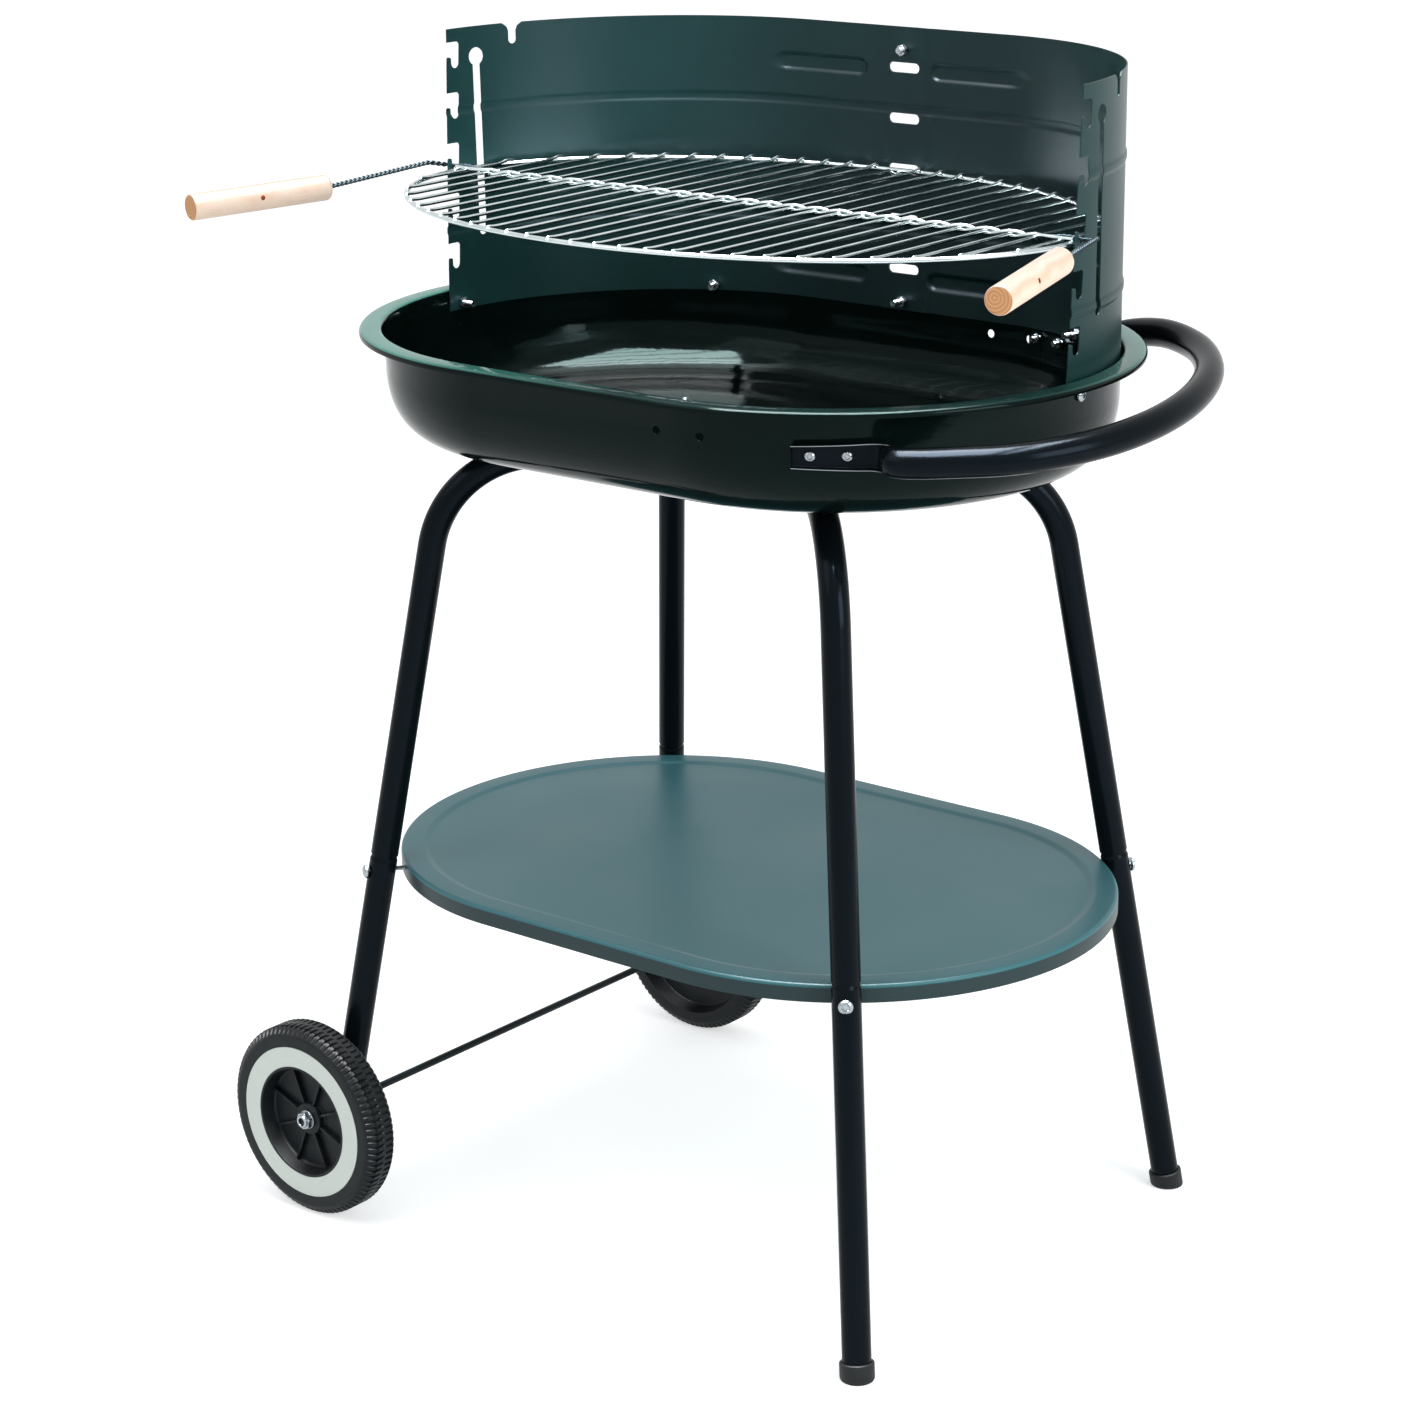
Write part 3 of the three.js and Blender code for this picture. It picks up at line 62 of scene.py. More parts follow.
def quads(rows, columns, closeRows=False, closeColumns=True):
    # one face between each four neighbours of a grid; the last row or column meets the first
    r, c = np.meshgrid(np.arange(rows if closeRows else rows - 1),
                       np.arange(columns if closeColumns else columns - 1), indexing="ij")
    down, right = (r + 1) % rows, (c + 1) % columns
    corners = [r * columns + c, r * columns + right, down * columns + right, down * columns + c]
    return np.stack(corners, -1).reshape(-1, 4).tolist()


def outwards(points, faces):
    # the volume is the sum of each face's fan of tetrahedra from the origin; below zero
    # the faces look inwards and are turned round
    volume = 0.0
    for size in {len(f) for f in faces}:
        corners = points[np.array([f for f in faces if len(f) == size])]
        for k in range(1, size - 1):
            volume += np.einsum("ij,ij->", corners[:, 0], np.cross(corners[:, k], corners[:, k + 1]))
    return points, faces if volume > 0 else [f[::-1] for f in faces]


def closedGrid(grid, closeRows=False):
    # a closed body from rings of points: rows are rings, and flat fans close both ends
    rows, columns = grid.shape[:2]
    points = grid.reshape(-1, 3)
    faces = quads(rows, columns, closeRows)
    if not closeRows:
        ends = np.stack([grid[0].mean(0), grid[-1].mean(0)])
        turn = np.arange(columns)
        for middle, base, step in ((len(points), 0, -1), (len(points) + 1, (rows - 1) * columns, 1)):
            fan = np.stack([np.full(columns, middle), base + turn, base + (turn + step) % columns], -1)
            faces += fan.tolist()
        points = np.concatenate([points, ends])
    return outwards(points, faces)


def closedSheet(outer, inner):
    # two matching grids a sheet's thickness apart, with a strip of faces along each border
    rows, columns = outer.shape[:2]
    count = rows * columns
    front = np.array(quads(rows, columns, closeColumns=False))
    r, c = np.arange(rows), np.arange(columns)
    loops = [c, c + (rows - 1) * columns, r * columns, r * columns + columns - 1]
    flips = [1, -1, -1, 1]
    faces = front.tolist() + (front[:, ::-1] + count).tolist()
    for loop, flip in zip(loops, flips):
        strip = np.stack([loop[1:], loop[:-1], loop[:-1] + count, loop[1:] + count], -1)
        faces += strip[:, ::flip].tolist()
    return outwards(np.concatenate([outer.reshape(-1, 3), inner.reshape(-1, 3)]), faces)


def sweep(path, section, up, closed=False):
    # carries a section along a path: point + across * a + upward * b, across being square to
    # both the path and the up direction
    path = np.asarray(path, float)
    if closed:
        ahead, behind = np.roll(path, -1, 0) - path, path - np.roll(path, 1, 0)
    else:
        ahead = np.diff(path, axis=0, append=path[-1:] * 2 - path[-2:-1])
        behind = np.diff(path, axis=0, prepend=path[:1] * 2 - path[1:2])
    tangent = unit(unit(ahead) + unit(behind))
    across = unit(np.cross(tangent, up))
    upward = np.cross(across, tangent)
    a, b = section[..., 0:1], section[..., 1:2]
    return closedGrid(path[:, None] + across[:, None] * a + upward[:, None] * b, closed)


def fullTurn(steps):  # angles evenly round a circle
    return np.linspace(0, 2 * np.pi, steps, endpoint=False)


def circle(radius, sides):
    turn = fullTurn(sides)
    return np.stack([radius * np.cos(turn), radius * np.sin(turn)], -1)


def turned(line, origin, axis, steps=48):
    # a line of (radius, distance along the axis) spun about the axis
    line = np.asarray(line, float)
    axis = unit(np.asarray(axis, float))
    side = unit(np.cross(axis, [0.13, 0.31, 0.94] if abs(axis[2]) < 0.9 else [1, 0, 0]))
    turn = fullTurn(steps)
    spoke = np.cos(turn)[:, None] * side + np.sin(turn)[:, None] * np.cross(axis, side)
    return closedGrid(origin + line[:, None, :1] * spoke + line[:, None, 1:] * axis)


def roundedLine(corners, radii, steps=6):
    # straight runs with each corner replaced by an arc of its radius, in 2D or 3D
    corners = np.asarray(corners, float)
    line = [corners[:1]]
    for before, corner, after, radius in zip(corners, corners[1:], corners[2:], radii):
        arriving, leaving = unit(corner - before), unit(after - corner)
        turn = np.arccos(np.clip(arriving @ leaving, -1, 1))
        if radius <= 0 or turn < 1e-4:
            line.append(corner[None])
            continue
        inward = unit(leaving - arriving * np.cos(turn))
        start = corner - arriving * radius * np.tan(turn / 2)
        angle = np.linspace(0, turn, steps + 1)[:, None]
        line.append(start + inward * radius * (1 - np.cos(angle)) + arriving * radius * np.sin(angle))
    return np.concatenate(line + [corners[-1:]])


def offsetLine(line, distance):  # a 2D line moved sideways to its left
    along = unit(np.gradient(line, axis=0))
    return line + distance * np.stack([-along[:, 1], along[:, 0]], -1)


def thickened(line, thickness):
    # a profile that starts on the axis, and the same profile moved sideways as its way back
    inside = offsetLine(line, thickness)
    inside[0, 0] = 0
    return np.concatenate([line, inside[::-1]])


def curveThrough(points, slope, steps):
    # each span blends its two ends and their slopes by cubic weights that sum to one
    t = np.linspace(0, 1, steps, endpoint=False)[None, :, None]
    a, b, u, v = points[:-1, None], points[1:, None], slope[0], slope[1]
    ends = (2 * t**3 - 3 * t**2 + 1) * a + (3 * t**2 - 2 * t**3) * b
    curve = ends + (t**3 - 2 * t**2 + t) * u + (t**3 - t**2) * v
    return np.concatenate([curve.reshape(-1, 3), points[-1:]])


def travelled(points):  # the distance walked to each point
    return np.concatenate([[0], np.cumsum(np.linalg.norm(np.diff(points, axis=0), axis=1))])


def evenlyAlong(path, perLength):  # as many points for each millimetre, evenly along a path
    walked = travelled(path)
    even = np.linspace(0, walked[-1], int(walked[-1] * perLength))
    return np.stack([np.interp(even, walked, path[:, k]) for k in range(3)], -1), even


def solidCorners(node):
    return np.array([v.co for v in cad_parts[node].data.vertices]) * 1000


def longAxis(spread):  # the direction in which points spread most
    return np.linalg.eigh(spread.T @ spread)[1][:, -1]


def words(name):  # leg_upper as LegUpper
    return "".join(word.capitalize() for word in name.split("_"))


def newMesh(name, parts):
    points = np.concatenate([p for p, _ in parts]) / 1000
    starts = np.cumsum([0] + [len(p) for p, _ in parts])
    faces = [[i + start for i in face] for (_, fs), start in zip(parts, starts) for face in fs]
    mesh = bpy.data.meshes.new(name)
    mesh.from_pydata(points.tolist(), [], faces)
    return mesh


def weld(mesh):  # merges points that share a place, such as a pole's, and drops empty faces
    work = bmesh.new()
    work.from_mesh(mesh)
    bmesh.ops.remove_doubles(work, verts=work.verts, dist=2e-6)
    bmesh.ops.dissolve_degenerate(work, edges=work.edges, dist=1e-7)
    work.to_mesh(mesh)
    work.free()


def addObject(name, data):
    made = bpy.data.objects.new(name, data)
    bpy.context.scene.collection.objects.link(made)
    return made


def cutOut(mesh, cutters, material, edgeMaterial):
    # takes closed bodies out of a mesh; the new faces get the edge material
    body, tool = addObject("cutBody", mesh), addObject("cutTool", newMesh("cutTool", cutters))
    tool.data.materials.append(edgeMaterial)
    modifier = body.modifiers.new("cut", "BOOLEAN")
    modifier.operation, modifier.solver, modifier.object = "DIFFERENCE", "EXACT", tool
    modifier.use_self = True
    modifier.material_mode = "TRANSFER"
    result = bpy.data.meshes.new_from_object(body.evaluated_get(bpy.context.evaluated_depsgraph_get()))
    for made in (body, tool):
        bpy.data.objects.remove(made)
    result.materials.clear()
    for surface in (material, edgeMaterial):
        result.materials.append(surface)
    return result


def storeOnPoints(mesh, name, values):  # keeps a number, or a place of three, on each point
    kind, field = ("FLOAT", "value") if values.ndim == 1 else ("FLOAT_VECTOR", "vector")
    layer = mesh.attributes.new(name, kind, "POINT")
    layer.data.foreach_set(field, values.astype(np.float32).ravel())


def addPiece(name, mesh, material, body, replaces, sharp=32):
    # the finished piece: smooth faces, edges sharper than the given angle kept crisp
    if not mesh.materials:
        mesh.materials.append(material)
    mesh.shade_smooth()
    mesh.set_sharp_from_angle(angle=np.radians(sharp))
    piece = addObject(name, mesh)
    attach(piece, body)
    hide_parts(*replaces)


def addSolid(name, parts, material, body, replaces, sharp=32):
    mesh = newMesh(name, parts)
    weld(mesh)
    addPiece(name, mesh, material, body, replaces, sharp)


# Camera

cameraView = {
    "azimuth": 39.784, "elevation": 17.4, "roll": -1.055,  # degrees
    "distance": 2852.6, "target": (-50.14, 0.0, 409.65),  # from the bowl's middle line
    "lens": 92.19,
}

bowlLow, bowlHigh = boxOf("fire_bowl")
middleX = (bowlLow[0] + bowlHigh[0]) / 2


def addCamera():
    a, e, r = np.radians([cameraView[k] for k in ("azimuth", "elevation", "roll")])
    back = np.array([np.sin(a) * np.cos(e), -np.cos(a) * np.cos(e), np.sin(e)])
    right = np.array([np.cos(a), np.sin(a), 0])
    up = np.cross(back, right)
    rolled = np.array([np.cos(r) * right + np.sin(r) * up, np.cos(r) * up - np.sin(r) * right, back]).T
    target = np.array(cameraView["target"]) + [middleX, 0, 0]
    place = Matrix(rolled.tolist()).to_4x4()
    place.translation = Vector((target + cameraView["distance"] * back) / 1000)
    data = bpy.data.cameras.new("camera")
    data.lens, data.sensor_width, data.clip_end = cameraView["lens"], 36, 100
    camera = addObject("camera", data)
    camera.matrix_world = place
    bpy.context.scene.camera = camera


addCamera()


# Materials

def toLinear(hexColour):  # sRGB to linear light: c/12.92 when dark, else ((c+0.055)/1.055)^2.4
    c = np.array([int(hexColour[i:i + 2], 16) for i in (1, 3, 5)]) / 255
    return (*np.where(c < 0.04045, c / 12.92, ((c + 0.055) / 1.055) ** 2.4), 1.0)


def addNode(tree, kind, settings={}, links={}):
    # settings go to inputs of that name or number, else to the node; links are (node, output)
    node = tree.nodes.new("ShaderNode" + kind)
    for name, value in settings.items():
        if isinstance(name, int) or name in node.inputs:
            node.inputs[name].default_value = value
        else:
            setattr(node, name, value)
    for name, (source, output) in links.items():
        tree.links.new(source.outputs[output], node.inputs[name])
    return node


def newMaterial(name, settings):
    material = bpy.data.materials.new(name)
    material.use_nodes = True
    tree = material.node_tree
    tree.nodes.clear()
    shader = addNode(tree, "BsdfPrincipled", settings)
    addNode(tree, "OutputMaterial", links={"Surface": (shader, 0)})
    return material, tree, shader


def perMetre(millimetres):  # texture scale that gives one cell per length
    return 1000 / millimetres


def paintOver(material, share, hexColour):
    # mixes another colour over a material's own, by a share between 0 and 1
    tree = material.node_tree
    base = tree.nodes["Principled BSDF"].inputs["Base Color"]
    before = base.links[0].from_socket
    mixed = addNode(tree, "Mix", {"data_type": "RGBA", 7: toLinear(hexColour)}, {0: share})
    tree.links.new(before, mixed.inputs[6])
    tree.links.new(mixed.outputs[2], base)
    return mixed


def shareBetween(tree, measure, start, end):
    # rises from 0 to 1 between two heights, or between two distances from a point, in mm
    place = addNode(tree, "TexCoord")
    if measure == "Z":
        source = (addNode(tree, "SeparateXYZ", {}, {0: (place, "Object")}), "Z")
    else:
        point = tuple(c / 1000 for c in measure)
        away = addNode(tree, "VectorMath", {"operation": "DISTANCE", 1: point}, {0: (place, "Object")})
        source = (away, "Value")
    return addNode(tree, "MapRange", {"From Min": start / 1000, "From Max": end / 1000}, {"Value": source}), 0


def fadeIn(material, measure, start, end, hexColour):
    return paintOver(material, shareBetween(material.node_tree, measure, start, end), hexColour)


def finish(name, look, settings, detail, bumpDepth):
    # what paint, plating and plastic share: the colour drifts between two over broad patches, the
    # gloss drifts with it, and a fine grain dimples the skin
    material, tree, shader = newMaterial(name, settings)
    place = addNode(tree, "TexCoord")
    patches = addNode(tree, "TexNoise", {"Scale": perMetre(look["patch"]), "Detail": detail},
                      {"Vector": (place, "Object")})
    colour = addNode(tree, "Mix", {"data_type": "RGBA", 6: toLinear(look["colour"]),
                                   7: toLinear(look["drift"])}, {0: (patches, 0)})
    gloss = addNode(tree, "MapRange", {"From Min": 0.3, "From Max": 0.7, "To Min": look["roughness"][0],
                                       "To Max": look["roughness"][1]}, {"Value": (patches, 0)})
    stretch = addNode(tree, "Mapping", {"Scale": [perMetre(size) for size in look["grain"]]},
                      {"Vector": (place, "Object")})
    grain = addNode(tree, "TexNoise", {"Scale": 1.0, "Detail": 2.0}, {"Vector": (stretch, 0)})
    skin = addNode(tree, "Bump", {"Strength": look["grainStrength"], "Distance": bumpDepth / 1000},
                   {"Height": (grain, 0)})
    tree.links.new(colour.outputs[2], shader.inputs["Base Color"])
    tree.links.new(gloss.outputs[0], shader.inputs["Roughness"])
    tree.links.new(skin.outputs[0], shader.inputs["Normal"])
    return material


def paintedSheet(name, look):
    # a paint or enamel film on steel, faintly dimpled, with a few dust specks in it
    material = finish(name, look, {
        "IOR": 1.5, "Metallic": 0.0, "Specular IOR Level": look["specular"],
        "Specular Tint": toLinear(look["tint"]),
    }, 3.0, 0.4)
    tree = material.node_tree
    size = look["speckSize"] / look["speckApart"]
    speck = addNode(tree, "TexVoronoi", {"Scale": perMetre(look["speckApart"])},
                    {"Vector": (addNode(tree, "TexCoord"), "Object")})
    dot = addNode(tree, "MapRange", {"From Min": size, "From Max": 0.5 * size}, {"Value": (speck, "Distance")})
    rare = addNode(tree, "Math", {"operation": "GREATER_THAN", 1: 1 - look["speckShare"]}, {0: (speck, "Color")})
    seen = addNode(tree, "Math", {"operation": "MULTIPLY"}, {0: (dot, 0), 1: (rare, 0)})
    paintOver(material, (seen, 0), look["speck"])
    return material


def platedMetal(name, look):
    # a thin bright plating: cloudy patches, and faint grit under it
    return finish(name, look, {"Metallic": 1.0}, 4.0, 0.2)


def mouldedPlastic(name, look):
    # injection-moulded plastic: one colour through and through, slight scuffs, and the fine matt
    # skin of a spark-eroded mould
    return finish(name, look, {"IOR": 1.46, "Metallic": 0.0, "Specular IOR Level": look["specular"]}, 5.0, 0.3)


# Vitreous enamel, fired glossy: near black with a bottle-green cast, mirror-like, gently wavy.
vitreousEnamel = paintedSheet("vitreousEnamel", {
    "colour": "#040c0b", "drift": "#081412", "patch": 90, "roughness": (0.06, 0.13),
    "specular": 0.11, "tint": "#badfdc", "grain": (80, 7, 7), "grainStrength": 0.3,
    "speck": "#5a6a66", "speckApart": 14, "speckSize": 0.5, "speckShare": 0.1,
})

# Heat-proof stove paint, sprayed and baked: satin, blue-green black.
stovePaint = paintedSheet("stovePaint", {
    "colour": "#12312f", "drift": "#173c3c", "patch": 150, "roughness": (0.32, 0.4),
    "specular": 0.2, "tint": "#dcecff", "grain": (2.2, 2.2, 2.2), "grainStrength": 0.12,
    "speck": "#6d7c7e", "speckApart": 16, "speckSize": 0.6, "speckShare": 0.15,
})

# Powder coat on tube: glossy black with a faint blue sheen, finely dimpled.
powderCoat = paintedSheet("powderCoat", {
    "colour": "#080d10", "drift": "#0c1215", "patch": 60, "roughness": (0.16, 0.23),
    "specular": 0.08, "tint": "#c8e2ff", "grain": (1.8, 1.8, 1.8), "grainStrength": 0.14,
    "speck": "#4a5356", "speckApart": 20, "speckSize": 0.5, "speckShare": 0.1,
})

# Baked sheet paint on the shelf: satin blue-grey with dust specks.
bakedSheetPaint = paintedSheet("bakedSheetPaint", {
    "colour": "#203033", "drift": "#26383b", "patch": 140, "roughness": (0.34, 0.42),
    "specular": 0.28, "tint": "#e0f0f2", "grain": (2.4, 2.4, 2.4), "grainStrength": 0.1,
    "speck": "#141d1f", "speckApart": 17, "speckSize": 1.1, "speckShare": 0.35,
})

# The paint film is thin on a cut edge, so it is paler there; the pale colour is partly a painted highlight where the
# edge catches light.
cutEdgePaint = paintedSheet("cutEdgePaint", {
    "colour": "#8d9a9a", "drift": "#b6c0be", "patch": 12, "roughness": (0.35, 0.5),
    "specular": 0.5, "tint": "#ffffff", "grain": (1.5, 1.5, 1.5), "grainStrength": 0.1,
    "speck": "#394446", "speckApart": 6, "speckSize": 0.5, "speckShare": 0.2,
})


# Zinc plate on screws: bright, slightly blue, cloudy.
zincPlate = platedMetal("zincPlate", {
    "colour": "#7f888e", "drift": "#b4bbbf", "patch": 3, "roughness": (0.18, 0.32),
    "grain": (0.6, 0.6, 0.6), "grainStrength": 0.25,
})

# Bright chrome on drawn wire: mirror-like with a pale green cast.
chromePlate = platedMetal("chromePlate", {
    "colour": "#b9c6c8", "drift": "#d6dfe0", "patch": 25, "roughness": (0.1, 0.2),
    "grain": (1.2, 1.2, 1.2), "grainStrength": 0.12,
})

# Drawn steel wire, dull zinc over it: dark grey-blue.
dullWire = platedMetal("dullWire", {
    "colour": "#14191c", "drift": "#2c363b", "patch": 8, "roughness": (0.32, 0.46),
    "grain": (0.8, 0.8, 0.8), "grainStrength": 0.25,
})

# Browned steel pin: red-brown oxide, dull.
brownedSteel = platedMetal("brownedSteel", {
    "colour": "#4a1d15", "drift": "#6b3020", "patch": 2, "roughness": (0.5, 0.65),
    "grain": (0.6, 0.6, 0.6), "grainStrength": 0.3,
})

# Blackened steel rod: dull oxide with a low sheen.
blackenedSteel = platedMetal("blackenedSteel", {
    "colour": "#1d2124", "drift": "#2a2f32", "patch": 20, "roughness": (0.38, 0.5),
    "grain": (1.0, 1.0, 1.0), "grainStrength": 0.2,
})


# Polyethylene wheel, moulded: black with a faint blue sheen.
tyrePlastic = mouldedPlastic("tyrePlastic", {
    "colour": "#070c0f", "drift": "#0e171b", "patch": 14, "roughness": (0.4, 0.55),
    "grain": (0.8, 0.8, 0.8), "grainStrength": 0.2, "specular": 0.22,
})

# Pale moulded trim ring: grey-green, smooth.
trimPlastic = mouldedPlastic("trimPlastic", {
    "colour": "#d3dbd4", "drift": "#dde4de", "patch": 18, "roughness": (0.38, 0.5),
    "grain": (1.2, 1.2, 1.2), "grainStrength": 0.1, "specular": 0.4,
})

# Soft polyethylene foot cap: matt black.
capPlastic = mouldedPlastic("capPlastic", {
    "colour": "#0c1012", "drift": "#14191b", "patch": 8, "roughness": (0.5, 0.62),
    "grain": (0.9, 0.9, 0.9), "grainStrength": 0.3, "specular": 0.3,
})


# Beech, turned and sanded: pale pinkish, straight fine grain along the grip with short darker
# flecks, and growth rings that show on the ends. The grain attribute holds each point's place
# in the grip: along it, then two ways across.
beechLook = {
    "pale": "#f4dac6", "dark": "#e9c6ab", "fleck": "#d4a883", "end": "#d29a68", "endDark": "#bb8250",
    "ring": 2.6, "pith": (2.6, 1.8), "wanderSize": 30, "wander": 3.0, "roughness": (0.5, 0.64),
    "fleckLong": 7.0, "fleckWide": 0.8, "fleckFrom": (0.6, 0.76), "fleckShare": 0.55, "grainStrength": 0.3,
}


def turnedBeech():
    material, tree, shader = newMaterial("turnedBeech", {"IOR": 1.5, "Metallic": 0.0})
    place = addNode(tree, "Attribute", {"attribute_name": "grain"})
    pith = tuple(c / 1000 for c in beechLook["pith"])
    split = addNode(tree, "SeparateXYZ", {}, {0: (place, "Vector")})
    flat = addNode(tree, "CombineXYZ", {}, {1: (split, 1), 2: (split, 2)})
    fromPith = addNode(tree, "VectorMath", {"operation": "DISTANCE", 1: (0, *pith)}, {0: (flat, 0)})
    wander = addNode(tree, "TexNoise", {"Scale": perMetre(beechLook["wanderSize"]), "Detail": 2.0},
                     {"Vector": (place, "Vector")})
    shaken = addNode(tree, "Math", {"operation": "MULTIPLY_ADD", 1: beechLook["wander"] / 1000},
                     {0: (wander, 0), 2: (fromPith, "Value")})
    phase = addNode(tree, "Math", {"operation": "MULTIPLY", 1: 2 * np.pi * perMetre(beechLook["ring"])},
                    {0: (shaken, 0)})
    wave = addNode(tree, "Math", {"operation": "SINE"}, {0: (phase, 0)})
    band = addNode(tree, "MapRange", {"From Min": -1.0, "From Max": 1.0}, {"Value": (wave, 0)})
    wood = addNode(tree, "Mix", {"data_type": "RGBA", 6: toLinear(beechLook["pale"]),
                                 7: toLinear(beechLook["dark"])}, {0: (band, 0)})
    long, wide = perMetre(beechLook["fleckLong"]), perMetre(beechLook["fleckWide"])
    stretch = addNode(tree, "Mapping", {"Scale": (long, wide, wide)}, {"Vector": (place, "Vector")})
    fibre = addNode(tree, "TexNoise", {"Scale": 1.0, "Detail": 3.0}, {"Vector": (stretch, 0)})
    start, full = beechLook["fleckFrom"]
    fleck = addNode(tree, "MapRange", {"From Min": start, "From Max": full, "To Max": beechLook["fleckShare"]},
                    {"Value": (fibre, 0)})
    flecked = addNode(tree, "Mix", {"data_type": "RGBA", 7: toLinear(beechLook["fleck"])},
                      {0: (fleck, 0), 6: (wood, 2)})
    ends = addNode(tree, "Attribute", {"attribute_name": "endGrain"})
    across = addNode(tree, "Mix", {"data_type": "RGBA", 6: toLinear(beechLook["end"]),
                                   7: toLinear(beechLook["endDark"])}, {0: (band, 0)})
    colour = addNode(tree, "Mix", {"data_type": "RGBA"}, {0: (ends, "Fac"), 6: (flecked, 2), 7: (across, 2)})
    tree.links.new(colour.outputs[2], shader.inputs["Base Color"])
    gloss = addNode(tree, "MapRange", {"To Min": beechLook["roughness"][0], "To Max": beechLook["roughness"][1]},
                    {"Value": (fibre, 0)})
    tree.links.new(gloss.outputs[0], shader.inputs["Roughness"])
    skin = addNode(tree, "Bump", {"Strength": beechLook["grainStrength"], "Distance": 0.0002},
                   {"Height": (fibre, 0)})
    tree.links.new(skin.outputs[0], shader.inputs["Normal"])
    return material


beech = turnedBeech()
print("materials made")


# Fire bowl

bowl = {
    "floorRadius": 150.0, "kneeRadius": 205.8, "kneeHeight": 688.8, "belly": 2.6,
    "mouthRadius": 208.5, "rimRadius": 3.2, "mouthFillet": 2.6, "lipDrop": 4.5, "sheet": 1.0,
    # the rim's top is painted teal, partly the enamel's own green and partly painted sky reflection, palest far from
    # one place as a painted highlight
    "rimDark": "#173a36", "rimPale": "#58a596", "rimDarkAt": (230.0, -200.0, 714.0),
    "rimFilm": (-1.4, -0.7), "rimPaleFrom": (180.0, 420.0),  # from the top; from the dark place
    "spareHoles": (85, 123), "spareHoleRadius": 3.3, "spareHoleHeight": 687.0, "drillDepth": 24.0,
}
bowlRim = bowlHigh[1]
bowlHalfRun = (bowlHigh[0] - bowlLow[0]) / 2 - bowlRim


def ovalPart(halfRun, line, steps=90):
    # a profile of (radius, height) carried round an oval: half circles whose centres lie a
    # half run either side of the middle, joined by straight runs
    angle = np.radians(np.concatenate([np.linspace(-90, 90, steps), np.linspace(90, 270, steps)]))
    centre = np.repeat([halfRun, -halfRun], steps)
    x = middleX + centre + line[:, :1] * np.cos(angle)
    y = line[:, :1] * np.sin(angle)
    grid = np.stack([x, y, np.broadcast_to(line[:, 1:], x.shape)], -1)
    return outwards(grid.reshape(-1, 3), quads(len(line), 2 * steps))


def bowlLine():
    # flat floor, a superelliptic belly up to the knee, a near-upright wall, then the rim
    turn = np.linspace(90, 0, 22)[:, None] * np.pi / 180
    floorRadius, knee, kneeHeight = bowl["floorRadius"], bowl["kneeRadius"], bowl["kneeHeight"]
    radius = floorRadius + (knee - floorRadius) * np.cos(turn) ** (2 / bowl["belly"])
    height = kneeHeight - (kneeHeight - bowlLow[2]) * np.sin(turn) ** (2 / bowl["belly"])
    under, edge = bowlHigh[2] - bowl["sheet"], bowlRim - bowl["sheet"]
    rim = roundedLine([(knee, kneeHeight), (bowl["mouthRadius"], under), (edge, under),
                       (edge, bowlHigh[2] - bowl["lipDrop"])],
                      (bowl["mouthFillet"], bowl["rimRadius"] - bowl["sheet"]))
    floor = np.stack([np.linspace(0, floorRadius, 9)[:-1], np.full(8, bowlLow[2])], -1)
    return np.concatenate([floor, np.hstack([radius, height]), rim[1:]])


def addBowl():
    mesh = newMesh("bowl", [ovalPart(bowlHalfRun, thickened(bowlLine(), bowl["sheet"]))])
    weld(mesh)
    radius, depth = bowl["spareHoleRadius"], bowl["drillDepth"]
    drills = []
    for x in bowl["spareHoles"]:
        for side in (-1, 1):
            start = np.array([middleX + x, side * (bowl["kneeRadius"] - depth / 2), bowl["spareHoleHeight"]])
            drills.append(turned([(0, 0), (radius, 0), (radius, depth), (0, depth)], start, (0, side, 0), 24))
    mesh = cutOut(mesh, drills, vitreousEnamel, cutEdgePaint)
    addPiece("enamelledBowl", mesh, vitreousEnamel, "frame", ["fire_bowl"], 40)


def colourRim():
    # painted light: a teal band on the rim's top as painted sky reflection, paler with distance from one place as a
    # painted highlight
    start, end = bowl["rimFilm"]
    rim = fadeIn(vitreousEnamel, "Z", bowlHigh[2] + start, bowlHigh[2] + end, bowl["rimDark"])
    tree = vitreousEnamel.node_tree
    pale = addNode(tree, "Mix", {"data_type": "RGBA", 6: toLinear(bowl["rimDark"]), 7: toLinear(bowl["rimPale"])},
                   {0: shareBetween(tree, bowl["rimDarkAt"], *bowl["rimPaleFrom"])})
    tree.links.new(pale.outputs[2], rim.inputs[7])


colourRim()
addBowl()
print("bowl made")


# Windshield

shield = {
    "sheet": 0.9, "lean": 1.5, "splay": 6.0, "splayFrom": 60.0, "splayFull": 110.0,
    "overlap": 21.0, "joggle": 6.0, "seatGap": 0.3,
    "beads": (762.0, 857.0), "beadHalfWidth": 4.5, "beadDepth": 1.0,
    "dents": ((-82.0, 888.0), (70.0, 888.0), (-82.0, 722.0), (68.0, 722.0)),
    "dentHalfLength": 45.0, "dentHalfHeight": 7.5, "dentDepth": 2.4, "dentSlope": 3.0,
    "edgeTopY": 3.0, "edgeBottomY": -9.6, "sweep": 100, "runStep": 1.6,
    "cutFrom": 20, "cutDepth": 300, "cutPast": 9, "cutFront": -60,
    # painted shade: the sheet's inside is painted darker towards one place low at the back, near the bowl
    "lowColour": "#0a2020", "fireSide": (70.0, 209.0, 715.0), "fireReach": (340.0, 150.0),  # darkest here
    "rearSlotHalfLength": 15.0, "rearSlotHeight": 8.0, "rearSlotDrop": 31.9,
}
notch = {
    "count": 5, "pitch": 40.0, "top": 911.4, "depth": 13.0, "drop": 20.9, "corner": 3.0,
    "slotRadius": 4.2, "toothDrop": 11.4, "used": 2,
}
keyhole = {"y": 32.0, "radius": 7.2, "top": 905.0, "bottom": 754.0, "slotWidth": 7.4}
topNotch = {"y": 66.0, "width": 7.0, "depth": 17.0}

